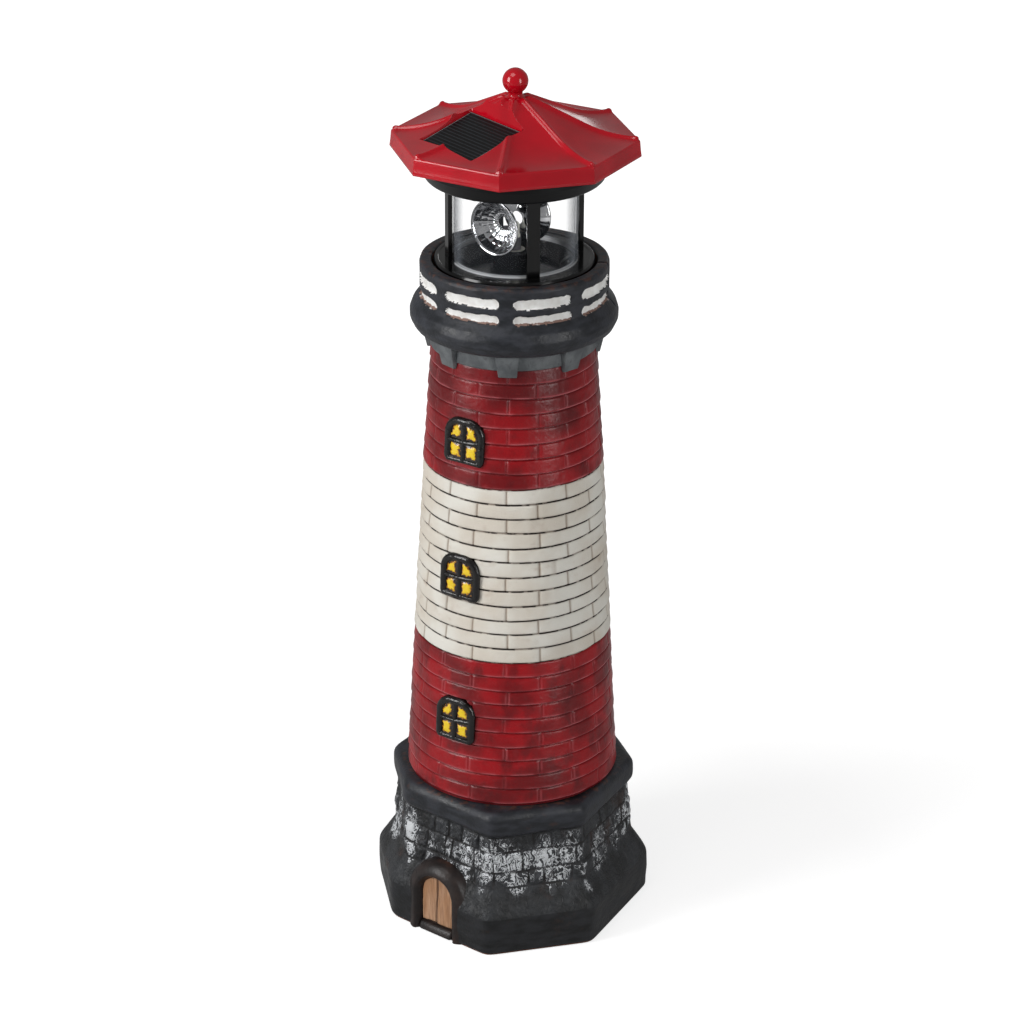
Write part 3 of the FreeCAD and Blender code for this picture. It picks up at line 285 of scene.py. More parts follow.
def white_emulsion():
    """Vinyl emulsion: matt, IOR 1.47, chalky grain of about 1 mm."""
    material, tree, shader, place = begin("White_emulsion_on_clay")
    colour = two_tones(tree, place, "E0DDD4", "D3CBBE", 24, 0.34, 0.66)
    grout = add(tree, "Attribute", "Fac", {}, attribute_name="grout")
    broken = patches(tree, place, 6.0, 0.38, 0.48, 5.0)
    wash = add(tree, "MapRange", "Result", {
        "Value": grout, "From Min": 0.15, "From Max": 0.45,
    }, interpolation_type="SMOOTHSTEP")
    wash = add(tree, "Math", "Value", {0: wash, 1: broken}, operation="MULTIPLY")
    colour = layered(
        tree, colour,
        ("A98F79", 0.42, patches(tree, place, 12, 0.58, 0.80, 5.0, (1.0, 1.0, 1.5))),
        ("97826F", 0.70, "joint"),
        ("5E4636", 0.85, grout),
        ("1E110B", 1.00, wash),
    )
    surface(tree, shader, colour, 0.7, patches(tree, place, 0.9), 0.12, {"IOR": 1.47})
    return material


RED_LACQUER = red_lacquer()
WHITE_EMULSION = white_emulsion()
print("tower paints ready")


# %% [markdown]
# The gallery, the base's rim and its skirt have a charcoal acrylic paint, brushed on and sealed with a
# satin varnish, which gives long soft streaks of light. It is rubbed through to the brown clay on some
# edges. The base's stones were dry-brushed: a nearly dry brush of white was dragged down over them, so
# the white stands in short upright marks on whatever stands out, and the joints stay dark.

# %% Charcoal, stones, corbels, slots and bare clay
def charcoal(name, tone, deep, wear):
    """Acrylic paint under satin varnish; wear is the clay or primer that shows on rubbed edges."""
    material, tree, shader, place = begin(name)
    streaks = patches(tree, place, 10, 0.34, 0.68, 4.0, (1.0, 1.0, 3.0))
    colour = add(tree, "MixRGB", "Color", {
        "Fac": streaks, "Color1": linear(deep), "Color2": linear(tone),
    })
    edge_wear_and_highlight = add(tree, "Attribute", "Fac", {}, attribute_name="edge_wear_and_highlight")
    worn = patches(tree, place, 3.0, 0.46, 0.68, 5.0)
    rubbed = add(tree, "Math", "Value", {0: edge_wear_and_highlight, 1: worn}, operation="MULTIPLY")
    colour = layered(tree, colour, (wear, 0.75, rubbed))
    sheen = add(tree, "MapRange", "Result", {"Value": streaks, "To Min": 0.36, "To Max": 0.52})
    grain = patches(tree, place, 1.6, detail=4.0)
    surface(tree, shader, colour, sheen, grain, 0.14, {"Specular IOR Level": 0.32})
    return material


def dry_brushed_stone():
    """Near-black paint, then white from a nearly dry brush: squiggles round each chip, 0.5 to 2 mm wide."""
    material, tree, shader, place = begin("Dry_brushed_stone")
    colour = two_tones(tree, place, "151617", "2B2D30", 11, 0.34, 0.68, 4.0)
    drawn = add(tree, "Mapping", "Vector", {"Vector": place, "Scale": (1.0, 1.0, 0.72)})
    chips = add(tree, "TexNoise", "Fac", {
        "Vector": drawn, "Scale": 1 / (3.4 * MM), "Detail": 3.0, "Roughness": 0.6, "Distortion": 1.2,
    })
    from_edge = add(tree, "Math", "Value", {0: chips, 1: 0.5}, operation="SUBTRACT")
    from_edge = add(tree, "Math", "Value", {0: from_edge}, operation="ABSOLUTE")
    edge = add(tree, "MapRange", "Result", {
        "Value": from_edge, "From Min": 0.075, "From Max": 0.01, "To Max": 0.42,
    })
    top = add(tree, "MapRange", "Result", {
        "Value": chips, "From Min": 0.5, "From Max": 0.7, "To Max": 0.34,
    })
    caught = add(tree, "Math", "Value", {0: edge, 1: top}, operation="MAXIMUM")
    brush = add(tree, "Attribute", "Fac", {}, attribute_name="brush")
    caught = add(tree, "Math", "Value", {0: caught, 1: brush}, operation="ADD")
    grime = add(tree, "MapRange", "Result", {"Value": caught, "From Min": 0.42, "From Max": 0.66})
    white = add(tree, "MapRange", "Result", {
        "Value": caught, "From Min": 0.72, "From Max": 0.86,
    }, interpolation_type="SMOOTHSTEP")
    colour = layered(
        tree, colour,
        ("33211A", 0.8, patches(tree, place, 15, 0.60, 0.76, 4.0)),
        ("44464A", 0.6, grime),
        ("D2D5D8", 1.0, white),
        ("120C09", 0.9, "grout"),
    )
    surface(tree, shader, colour, 0.5, chips, 1.4, {"Specular IOR Level": 0.4})
    return material


def corbel_grey():
    """Grey acrylic, satin, with darker blots of about 4 mm where the brush touched the charcoal."""
    material, tree, shader, place = begin("Grey_satin_paint")
    colour = two_tones(tree, place, "4C5053", "6A6E70", 8, 0.35, 0.7, 4.0)
    colour = layered(tree, colour, ("33363A", 0.6, patches(tree, place, 4, 0.58, 0.74, 5.0)))
    surface(tree, shader, colour, 0.45, patches(tree, place, 1.5), 0.1)
    return material


def slot_white():
    """Emulsion daubed into the sunk slots; the brown clay shows where the brush missed, mostly below."""
    material, tree, shader, place = begin("Slot_white_paint")
    missed = add(tree, "TexNoise", "Fac", {
        "Vector": place, "Scale": 1 / (2.6 * MM), "Detail": 5.0,
    })
    rust = add(tree, "Attribute", "Fac", {}, attribute_name="rust")
    missed = add(tree, "Math", "Value", {0: missed, 1: rust}, operation="ADD")
    missed = add(tree, "MapRange", "Result", {
        "Value": missed, "From Min": 1.02, "From Max": 1.16,
    }, interpolation_type="SMOOTHSTEP")
    colour = two_tones(tree, place, "F2F2F0", "E2E0DC", 5, 0.3, 0.7)
    colour = layered(tree, colour, ("6E432E", 0.9, missed))
    surface(tree, shader, colour, 0.6, patches(tree, place, 1.8), 0.2)
    return material


def bare_clay():
    """Unglazed red-brown clay: dull and rough, with a grain of about 2 mm."""
    material, tree, shader, place = begin("Bare_fired_clay")
    colour = two_tones(tree, place, "8C5540", "A56B52", 30, 0.3, 0.7, 4.0)
    surface(tree, shader, colour, 0.85, patches(tree, place, 2.0, detail=5.0), 0.3)
    return material


CHARCOAL = charcoal("Charcoal_satin_paint", "313339", "1F2125", "54372C")
SKIRT_CHARCOAL = charcoal("Near_black_satin_paint", "242528", "141516", "35261F")
STONE = dry_brushed_stone()
CORBEL_GREY = corbel_grey()
SLOT_WHITE = slot_white()
BARE_CLAY = bare_clay()
print("clay paints ready")


# %% [markdown]
# ## The brick tower
# Each course of bricks leans out towards its lower edge, like a shingle, with a groove below it. Nine
# bricks go round, and every second course is turned by half a brick. The columns of the grid crowd at
# the joints, so the joints stay crisp without a needlessly fine mesh.

# %% Courses, joints and relief
COURSES = 30
FIRST_WHITE, LAST_WHITE = 10, 21
TOWER_LOW_Z, TOWER_HIGH_Z, RIM_TOP_Z = 80.7, 317.0, 79.8
TOWER_OUTLINE = ((80.7, 54.6), (160.0, 50.4), (254.0, 45.5), (321.0, 41.2))   # height and radius
COURSE_HEIGHT = (TOWER_HIGH_Z - TOWER_LOW_Z) / COURSES
BRICKS_ROUND = 9
SECTORS = 2 * BRICKS_ROUND           # half bricks, since every second course is turned by one
HALF_BRICK = FULL_TURN / SECTORS
JOINT_ANGLE = 29.9                   # a joint on the odd courses
# Course of each short brick let in between two others: angle from, angle to, how proud it stands.
ODD_BRICKS = {3: (27.9, 36.0, 3.0), 16: (49.9, 59.2, 0.4)}
LEAN, GROOVE, JOINT_DEPTH = 0.60, 0.65, 0.42
GROOVE_HALF, JOINT_HALF, ODD_JOINT_HALF = 0.42, 0.5, 0.6
DICE = random.Random(5)


def tower_radius(height):
    """Outline of the tower, slightly swollen."""
    return np.interp(height, *zip(*TOWER_OUTLINE))


def brick_columns():
    """Angles of the grid's columns, the sector each is in, and its share of the way through it."""
    offsets = [0.0, 0.35, 0.8, 1.6, 2.9, 4.3, 5.8, 7.3, 8.7]
    scale = HALF_BRICK / 2 / offsets[-1]
    within = [o * scale for o in offsets] + [HALF_BRICK - o * scale for o in offsets[-2:0:-1]]
    angle = np.array([JOINT_ANGLE + HALF_BRICK * k + w for k in range(SECTORS) for w in within])
    share = np.array(within) / HALF_BRICK
    return angle, np.repeat(np.arange(SECTORS), len(within)), np.tile(share, SECTORS)


def brick_tower():
    rise = [0.0, 0.05, 0.11, 0.19, 0.32, 0.46, 0.60, 0.74, 0.85, 0.92, 0.965]
    base_angle, sector, share = brick_columns()
    rows, zones = [], []
    masks = {"grout": [], "joint": [], "edge_wear_and_highlight": []}
    heave = [[DICE.uniform(-1, 1) for _ in range(SECTORS)] for _ in range(COURSES + 1)]
    wave = [[DICE.uniform(-0.45, 0.45) for _ in range(12)] for _ in range(COURSES + 2)]
    turns = np.arange(13) * 30.0
    for course in range(COURSES + 1):
        shift = np.array([DICE.uniform(-1.3, 1.3) for _ in range(SECTORS + 1)])
        shift[-1] = shift[0]
        angle = base_angle + np.clip(1 - 2 * share, 0, 1) * shift[sector]
        angle = angle + np.clip(2 * share - 1, 0, 1) * shift[(sector + 1) % SECTORS]
        joint_first = (sector % 2) == (course + 1) % 2
        distance = np.where(joint_first, share, 1 - share) * HALF_BRICK
        brick = np.where(joint_first, sector, (sector - 1)) // 2 % BRICKS_ROUND
        proud = np.array([heave[course][b] for b in brick])
        wave_low = np.interp(angle % FULL_TURN, turns, wave[course] + wave[course][:1])
        wave_high = np.interp(angle % FULL_TURN, turns, wave[course + 1] + wave[course + 1][:1])
        if course in ODD_BRICKS:
            low, high, stands_out = ODD_BRICKS[course]
            proud = np.where((angle > low) & (angle < high), stands_out, proud)
        for v in (rise if course < COURSES else [0.0, 0.5]):
            nominal = TOWER_LOW_Z + (course + v) * COURSE_HEIGHT
            radius = tower_radius(nominal)
            to_joint = np.radians(distance) * radius
            groove = math.exp(-(min(v, 1 - v) * COURSE_HEIGHT / GROOVE_HALF) ** 2)
            joint = np.exp(-(to_joint / JOINT_HALF) ** 2)
            if course in ODD_BRICKS:
                edge = np.minimum(np.abs(angle - low), np.abs(angle - high))
                to_edge = np.radians(edge) * radius
                joint = np.maximum(joint, np.exp(-(to_edge / ODD_JOINT_HALF) ** 2))
            bulge = 0.10 * np.clip(to_joint / 3, 0, 1)
            out = LEAN * (1 - v) + bulge + 0.16 * proud * smooth_step(0, 1.2, to_joint)
            out = out * (1 - groove) - GROOVE * groove - JOINT_DEPTH * joint * (1 - groove)
            wavy = nominal + wave_low * (1 - v) + wave_high * v
            rows.append(ring_points(radius + out, wavy, angle))
            masks["grout"].append(np.maximum(groove, 0.25 * joint))
            masks["joint"].append(joint)
            # Painted highlight: thin pale lines beside each upright joint and along each brick's lower
            # edge, later broken up by lumps.
            upright = 0.35 * np.exp(-((to_joint - 0.8) / 0.35) ** 2) * (1 - groove)
            masks["edge_wear_and_highlight"].append(np.maximum(upright, math.exp(-((v - 0.10) / 0.06) ** 2)))
            zones.append(1 if FIRST_WHITE <= course <= LAST_WHITE else 0)
    foot = rows[0] * (1.0, 1.0, 0.0) + (0.0, 0.0, RIM_TOP_Z - 0.5)
    points = np.array([foot] + rows)
    masks = {name: np.array(values[:1] + values) for name, values in masks.items()}
    masks["edge_wear_and_highlight"] = masks["edge_wear_and_highlight"] * (0.25 + 0.75 * smooth_step(0.35, 0.6, lumps(points, 7.0, 14)))
    outward = points * (1.0, 1.0, 0.0)
    outward = outward / np.linalg.norm(outward, axis=-1, keepdims=True)
    relief = 0.5 * (lumps(points, 9.0) - 0.5) + 0.22 * (lumps(points, 2.5, 1) - 0.5)
    return grid_mesh("brick_tower", points + outward * relief[..., None], masks=masks, zones=zones)


clay_piece("brick_tower", brick_tower(), [RED_LACQUER, WHITE_EMULSION], ["tower_casting"])


# %% [markdown]
# ## The octagonal base
# The outline goes from the foot over a round shoulder, up a sloped skirt and a wall of rough stones,
# and over a thick rim. Its corners are rounded as slip-cast clay is. The stones are a relief on the
# wall's stretch only, and the grid is sunk where the door stands.

# %% Base outline and stones
SKIRT_TOP_Z, RIM_LOW_Z = 37.0, 64.4
BASE_OUTLINE = [
    (72.4, 0.0), (75.0, 0.2), (75.7, 12.0), (75.6, 22.0), (73.9, 25.5), (65.8, SKIRT_TOP_Z),
    (63.3, RIM_LOW_Z), (66.4, 65.2), (67.2, 68.8), (67.1, 76.2), (64.2, RIM_TOP_Z), (52.6, RIM_TOP_Z),
]
WIDEST_R, CORNER_SHARPNESS, BASE_COLUMNS = 75.5, 55, 640
STONE_COURSES, STONE_WIDE, WALL_R = (35.5, 44.0, 55.0, 64.2), (8, 19), 63.0    # widths in degrees
BASE_CORNERS = [                     # angle and distance of each corner: the casting is out of true
    (-68.7, 74.6), (-28.9, 72.6), (23.7, 76.0), (69.6, 74.3),
    (124.3, 74.8), (160.0, 74.0), (202.5, 75.4), (247.5, 75.4),
]
DOOR_TURN = math.radians(-5.2)       # the door's wall faces a little to the left
DOOR_FRONT, DOOR_MIDDLE = 66.7, 1.3  # how far out the surround stands, and its middle along the wall


def base_radius(corner_r, angle):
    """Distance from the axis to the base's skin; corner_r is WIDEST_R or less, for rings further in."""
    inset = (WIDEST_R - corner_r) * math.cos(HALF_SIDE)
    corners = [tuple(ring_points(r, 0.0, a)[:2]) for a, r in BASE_CORNERS]
    turn = np.radians(angle)
    total = 0.0
    for (x1, y1), (x2, y2) in zip(corners, corners[1:] + corners[:1]):
        length = math.hypot(x2 - x1, y2 - y1)
        wall = (x1 * y2 - x2 * y1) / length - inset
        facing = math.atan2(y2 - y1, x2 - x1)
        total = total + (np.maximum(np.cos(turn - facing), 0) / wall) ** CORNER_SHARPNESS
    return total ** (-1 / CORNER_SHARPNESS)


def on_door_wall(sideways, out, height):
    """Place from the distance along the door's wall, the distance out from the axis and the height."""
    flat = np.stack(np.broadcast_arrays(sideways + DOOR_MIDDLE, -np.asarray(out), height), axis=-1)
    return turned(flat, DOOR_TURN)


def stone_relief(points, angle, height):
    """Height of the stones in mm, the mask of their joints, and how proud each point is."""
    dice = random.Random(9)
    relief = np.zeros(angle.shape)
    joints = np.zeros(angle.shape)
    waver = 1.6 * (lumps(points, 18.0, 2) - 0.5)
    for low, high in zip(STONE_COURSES[:-1], STONE_COURSES[1:]):
        inside = (height + waver >= low) & (height + waver < high)
        edges = [dice.uniform(0, STONE_WIDE[0])]
        while edges[-1] < FULL_TURN - STONE_WIDE[0]:
            edges.append(edges[-1] + dice.uniform(*STONE_WIDE))
        edges = np.array([edges[-1] - FULL_TURN] + edges + [edges[0] + FULL_TURN])
        spot = (angle + 2.2 * (lumps(points, 14.0, 3) - 0.5)) % FULL_TURN
        sideways = np.radians(np.min(np.abs(spot[..., None] - edges), axis=-1)) * WALL_R
        upright = np.minimum(np.abs(height + waver - low), np.abs(height + waver - high))
        edge = np.minimum(sideways, upright)
        which = np.searchsorted(edges, spot.ravel()).reshape(spot.shape)
        proud = np.array([dice.uniform(-0.5, 0.7) for _ in range(len(edges) + 1)])[which]
        relief = np.where(inside, smooth_step(0.0, 1.3, edge) * (0.9 + proud), relief)
        kept = 0.35 + 0.65 * smooth_step(0.4, 0.6, lumps(points, 9.0, 17))
        joints = np.where(inside, (1 - smooth_step(0.15, 0.7, edge)) * kept, joints)
    drawn = points * (1, 1, 0.7)
    chips = lumps(drawn, 3.0, 4) * 0.6 + lumps(drawn, 1.5, 5) * 0.4
    return relief + 1.5 * (chips - 0.5), joints, chips


def octagonal_base():
    outline = softened(BASE_OUTLINE, 3.6, 0.8)
    angle = np.arange(BASE_COLUMNS) * FULL_TURN / BASE_COLUMNS
    radius = base_radius(outline[:, :1], angle[None, :])
    points = ring_points(radius, outline[:, 1:], angle[None, :])
    height = points[..., 2]
    wide = np.broadcast_to(angle[None, :], height.shape)
    on_wall = smooth_step(34.0, 38.5, height) * (1 - smooth_step(62.6, 64.4, height))
    relief, joints, chips = stone_relief(points, wide, height)
    hand = 1.1 * (lumps(points, 26.0, 6) - 0.5) + 0.35 * (lumps(points, 7.0, 7) - 0.5)
    along = np.gradient(outline, axis=0)
    along /= np.linalg.norm(along, axis=1, keepdims=True)
    out = np.minimum(on_wall * relief + hand * smooth_step(0.0, 6.0, height), 1.9) - 0.9
    turn = np.radians(wide)
    push = [np.sin(turn) * along[:, 1:], -np.cos(turn) * along[:, 1:], -along[:, :1] + 0 * turn]
    points = points + np.stack(push, -1) * out[..., None]
    facing = np.array([math.sin(DOOR_TURN), -math.cos(DOOR_TURN), 0.0])
    sideways = points @ [math.cos(DOOR_TURN), math.sin(DOOR_TURN), 0.0] - DOOR_MIDDLE
    out = points @ facing
    in_door = smooth_step(12.7, 11.4, np.abs(sideways)) * smooth_step(35.5, 34, height) * (out > 45)
    too_far = np.maximum(out - (76 - 14.5 * in_door), 0) * (in_door > 0)
    points = points - facing * too_far[..., None]
    corner = sum(np.exp(-off_nearest(wide - a, FULL_TURN) ** 2 / 30.0) for a, _ in BASE_CORNERS)
    drags = lumps(points * (1, 1, 0.25), 6.0, 8)
    broad = lumps(points * (1, 1, 0.6), 12.0, 18)
    brush = 0.35 + 0.26 * (chips - 0.5) + 0.16 * corner
    brush = brush + 0.5 * (drags - 0.5) + 0.35 * (broad - 0.5)
    brush = brush + 0.10 * np.exp(-((height - 50) / 7) ** 2) - 0.55 * joints
    drip = smooth_step(29.0, 39.0, height + 13 * (drags - 0.5))
    brush = brush - 0.10 * smooth_step(54, 58, height) - 0.6 * (1 - drip) - 0.5 * (height > 63.8)
    by_tower = smooth_step(59.5, 56.0, np.hypot(points[..., 0], points[..., 1])) * (height > 78)
    edge_wear_and_highlight = smooth_step(0.66, 0.9, lumps(points, 5.0, 10))
    edge_wear_and_highlight = edge_wear_and_highlight * smooth_step(1.0, 3.0, np.abs(height - 73))
    edge_wear_and_highlight = np.maximum(0.5 * edge_wear_and_highlight, by_tower)
    masks = {"grout": joints * on_wall, "brush": brush, "edge_wear_and_highlight": edge_wear_and_highlight}
    row_height = outline[:-1, 1]
    zones = np.where(row_height < 21.0, 0, np.where(row_height < RIM_LOW_Z - 0.4, 1, 2))
    return grid_mesh("octagonal_base", points, masks=masks, zones=zones)


clay_piece("octagonal_base", octagonal_base(), [SKIRT_CHARCOAL, STONE, CHARCOAL])

# %% [markdown]
# ## The gallery
# A collar, a round roll and a railing with two rows of sunk slots, which are painted white. The grid has
# a column every half degree, and the slots are a relief in it with steep but soft sides. Two rough seams
# cross the rim where the halves of the mould met.

# %% Collar, roll, railing and its slots
RAIL_R = 47.6
SLOT_MIDDLE, SLOT_HALF = 29.2 + SIDE_TURN / 2, 15.1
SLOT_ROWS = ((353.1, 2.5), (344.8, 2.1))
SLOT_DEPTH = 1.2
SEAM_ANGLES = (-65.0, 114.0)
GALLERY_OUTLINE = [
    (42.0, 316.5), (42.6, 317.0), (42.7, 324.0), (46.5, 325.2), (50.6, 327.5), (52.3, 331.0), (52.4, 334.5),
    (51.0, 338.5), (48.6, 341.4), (47.4, 343.2), (47.5, 359.6), (46.6, 361.0), (42.0, 361.0), (41.0, 360.0),
    (41.0, 331.5), (36.5, 331.0), (36.0, 316.0),
]


def gallery():
    outline = softened(GALLERY_OUTLINE, 0.9, 0.45)
    angle = np.arange(0, FULL_TURN, 0.5)
    points = ring_points(outline[:, :1], outline[:, 1:], angle[None, :])
    height = points[..., 2]
    wide = np.broadcast_to(angle[None, :], height.shape)
    across = np.radians(off_nearest(wide - SLOT_MIDDLE)) * RAIL_R
    outside = (outline[:, 0] > 45.0)[:, None] & (height > 341.5) & (height < 359.5)
    slot = np.zeros(height.shape)
    rust = np.zeros(height.shape)
    wobble = 0.9 * (lumps(points, 3.0, 11) - 0.5) + 0.5 * (lumps(points, 1.4, 15) - 0.5)
    for middle, half in SLOT_ROWS:
        beyond = np.maximum(np.abs(across) - (SLOT_HALF - half), 0)
        distance = np.hypot(beyond, height - middle) - half + wobble
        slot = np.maximum(slot, 1 - smooth_step(-0.45, 0.35, distance))
        low_edge = np.exp(-((height - (middle - half)) / 1.3) ** 2) * (distance < 0.4)
        rust = np.maximum(rust, low_edge * (0.75 if middle < 350 else 0.42))
    slot = slot * outside
    hand = 0.6 * (lumps(points, 16.0, 12) - 0.5) + 0.25 * (lumps(points, 4.5, 13) - 0.5)
    seam = np.zeros(height.shape)
    for place in SEAM_ANGLES:
        from_seam = np.radians(off_nearest(wide - place, FULL_TURN)) * RAIL_R
        ragged = from_seam + 1.6 * (lumps(points, 4.0, 16) - 0.5)
        seam = np.maximum(seam, np.exp(-(ragged / 0.7) ** 2) * (height > 338.0))
    inner = (outline[:, 0] < 42.0)[:, None]
    out = np.where(inner, 0.0, hand) - SLOT_DEPTH * slot - 0.9 * seam * ~inner
    turn = np.radians(wide)
    points[..., 0] += np.sin(turn) * out
    points[..., 1] -= np.cos(turn) * out
    points[..., 2] -= 0.7 * seam * (height > 360.2)
    rim = np.exp(-((height - 360.6) / 0.9) ** 2)
    slot_edge = 0.8 * np.exp(-(np.abs(slot - 0.3) / 0.2) ** 2) * outside * (slot > 0.05)
    masks = {"edge_wear_and_highlight": np.clip(rim + slot_edge, 0, 1) * ~inner, "rust": rust}
    mesh = grid_mesh("gallery", points, masks=masks)
    low, high = slot[:-1], slot[1:]
    face_slot = (low + high + np.roll(low, -1, 1) + np.roll(high, -1, 1)) / 4
    row_z = ((outline[:-1, 1] + outline[1:, 1]) / 2)[:, None]
    row_r = outline[:-1, :1]
    zone = np.where((row_z < 324.6) & (row_r > 41.5), 1, 0) + 0 * face_slot.astype(int)
    zone = np.where(row_r < 41.2, 3, zone)
    zone = np.where(face_slot > 0.42, 2, zone)
    mesh.polygons.foreach_set("material_index", zone.astype(np.int32).ravel())
    return mesh


clay_piece("gallery", gallery(), [CHARCOAL, CORBEL_GREY, SLOT_WHITE, BARE_CLAY])


# %% [markdown]
# The eight corbels are small wedges under the collar. Each is cut off steeply below, so that its foot
# throws a dark shadow on the bricks.

# %% Corbels and the inside of the casting
def soft_box(name, corners, materials, bevel, segments=2):
    """Closed solid of clay from eight corners, four below and four above, with rounded edges."""
    mesh = bpy.data.meshes.new(name)
    faces = [(3, 2, 1, 0), (4, 5, 6, 7), (0, 1, 5, 4), (1, 2, 6, 5), (2, 3, 7, 6), (3, 0, 4, 7)]
    mesh.from_pydata([Vector(c) * MM for c in corners], [], faces)
    piece = clay_piece(name, mesh, materials)
    applied(piece, "BEVEL", width=bevel * MM, segments=segments, limit_method="ANGLE")
    for polygon in piece.data.polygons:
        polygon.use_smooth = True
    piece.data.set_sharp_from_angle(angle=math.radians(38))


def applied(piece, modifier_kind, **settings):
    """Runs one modifier on a piece for good."""
    modifier = piece.modifiers.new(modifier_kind.lower(), modifier_kind)
    for name, value in settings.items():
        setattr(modifier, name, value)
    made = bpy.data.meshes.new_from_object(piece.evaluated_get(bpy.context.evaluated_depsgraph_get()))
    piece.modifiers.clear()
    piece.data = made


CORBEL_ANGLE, CORBEL_BACK_R = 29.5, 39.5
CORBEL_ENDS = ((313.4, 4.6, 43.5), (325.4, 6.0, 46.2))   # height, half width and front radius
INSIDE_OUTLINE = ((66.0, 0.0), (69.0, 19.0), (59.0, 36.0), (57.5, 72.0), (55.0, 72.5))
SHAFT_INSIDE = ((49.3, 72.5), (36.0, 316.0))
FOOT_OUTER_R, FOOT_INNER_R, FOOT_Z = 73.0, 66.0, 0.15


def corbels():
    for number in range(SIDES):
        middle = math.radians(CORBEL_ANGLE + SIDE_TURN * number)
        corners = []
        for height, half, outer in CORBEL_ENDS:
            for side, radius in ((-1, outer), (1, outer), (1, CORBEL_BACK_R), (-1, CORBEL_BACK_R)):
                corners.append((side * half, -radius, height))
        soft_box("corbel_%d" % number, turned(corners, middle), [CORBEL_GREY], 0.5)


def casting_inside():
    outline = np.array(INSIDE_OUTLINE)
    angle = np.arange(0, FULL_TURN, 3.75)
    radius = base_radius(outline[:, :1], angle[None, :])
    rows = list(ring_points(radius, outline[:, 1:], angle[None, :]))
    for r, z in SHAFT_INSIDE:
        rows.append(ring_points(r, z, angle))
    return grid_mesh("casting_inside", np.array(rows)[:, ::-1])


def foot_ring():
    angle = np.arange(BASE_COLUMNS) * FULL_TURN / BASE_COLUMNS
    outer = ring_points(base_radius(FOOT_OUTER_R, angle), FOOT_Z, angle)
    inner = ring_points(base_radius(FOOT_INNER_R, angle), FOOT_Z, angle)
    return grid_mesh("foot_ring", np.array([inner, outer]))


corbels()
clay_piece("casting_inside", casting_inside(), [BARE_CLAY])
clay_piece("foot_ring", foot_ring(), [BARE_CLAY])

# %% [markdown]
# ## Windows and door
# The windows were modelled in the clay: a thick arched frame with a cross, glazed black, and four
# yellow panes daubed in by hand, so that brown shows round each daub. The door is a brown leaf of two
# planks, sunk behind a broad rounded band of dark stone.

# %% Window and door finishes
def black_glaze():
    """Thick glaze: IOR 1.5, nearly mirror smooth over brush ridges of about 2 mm."""
    material, tree, shader, place = begin("Black_gloss_glaze")
    colour = two_tones(tree, place, "050404", "110E0D", 3, 0.3, 0.7)
    ridges = patches(tree, place, 2.0, detail=2.0)
    surface(tree, shader, colour, 0.22, ridges, 0.22, {"Specular IOR Level": 0.45})
    return material


def pane_yellow():
    """Glaze daubed inside the frame; thin at its edges, where it turns amber and then brown."""
    material, tree, shader, place = begin("Yellow_daubed_glaze")
    inset = add(tree, "Attribute", "Fac", {}, attribute_name="inset")
    ragged = add(tree, "TexNoise", "Fac", {
        "Vector": place, "Scale": 1 / (1.9 * MM), "Detail": 3.0,
    })
    ragged = add(tree, "Math", "Value", {0: ragged, 1: 1.6, 2: inset}, operation="MULTIPLY_ADD")
    amber = add(tree, "MapRange", "Result", {"Value": ragged, "From Min": 1.08, "From Max": 1.22})
    yellow = add(tree, "MapRange", "Result", {"Value": ragged, "From Min": 1.24, "From Max": 1.42})
    colour = layered(tree, linear("1E0F05"), ("B87808", 1.0, amber), ("F0CB14", 1.0, yellow))
    ridges = patches(tree, place, 1.5, detail=2.0)
    surface(tree, shader, colour, 0.24, ridges, 0.2, {"Coat Weight": 0.5, "Coat Roughness": 0.08})
    return material


def door_wood():
    """Matt brown paint over clay that was combed with upright wood grain about 0.8 mm wide."""
    material, tree, shader, place = begin("Combed_brown_paint")
    comb = patches(tree, place, 0.9, 0.3, 0.7, 3.0, (1.0, 1.0, 0.08))
    colour = two_tones(tree, place, "C39A7A", "B38560", 4, 0.35, 0.7, 3.0, (1.0, 1.0, 0.2))
    colour = layered(tree, colour, ("7C5238", 0.45, comb), ("26150D", 0.95, "grout"))
    surface(tree, shader, colour, 0.6, comb, -0.25)
    return material


def door_stone():
    """Nearly black brown acrylic, satin, rubbed to a lighter brown in patches of about 9 mm."""
    material, tree, shader, place = begin("Dark_brown_satin_paint")
    colour = two_tones(tree, place, "171110", "2A201D", 7, 0.35, 0.7, 4.0)
    colour = layered(tree, colour, ("4A2E22", 0.5, patches(tree, place, 9, 0.60, 0.78, 5.0)))
    surface(tree, shader, colour, 0.42, patches(tree, place, 1.6), 0.12, {"Specular IOR Level": 0.4})
    return material


BLACK_GLAZE = black_glaze()
PANE_YELLOW = pane_yellow()
DOOR_WOOD = door_wood()
DOOR_STONE = door_stone()
print("glazes ready")


# %% Arched outlines on the tower's skin
def arch_outline(half_width, bottom, top, shoulder, corner=0.0, step=0.7):
    """Points and outward normals round an arched outline, from the lower left, clockwise."""
    points = [(-half_width + corner, bottom), (-half_width, bottom + corner), (-half_width, top - shoulder)]
    for k in range(1, 13):
        turn = math.pi / 2 * k / 12
        across = shoulder * (1 - math.cos(turn))
        points.append((-half_width + across, top - shoulder + shoulder * math.sin(turn)))
    outline = np.array(points + [(-x, z) for x, z in reversed(points)], float)
    whole = lengths_along(outline)[-1]
    dense = points_at(outline, np.linspace(0, whole, int(whole / step)))
    along = np.gradient(dense, axis=0)
    along /= np.linalg.norm(along, axis=1, keepdims=True)
    return dense, np.stack([-along[:, 1], along[:, 0]], axis=-1)


def on_tower(sideways, height, out):
    """Place of a point from its distance along the tower's skin, its height and how far it stands out."""
    radius = tower_radius(height)
    return ring_points(radius + out, height, np.degrees(sideways / radius))


print("outline tools ready")

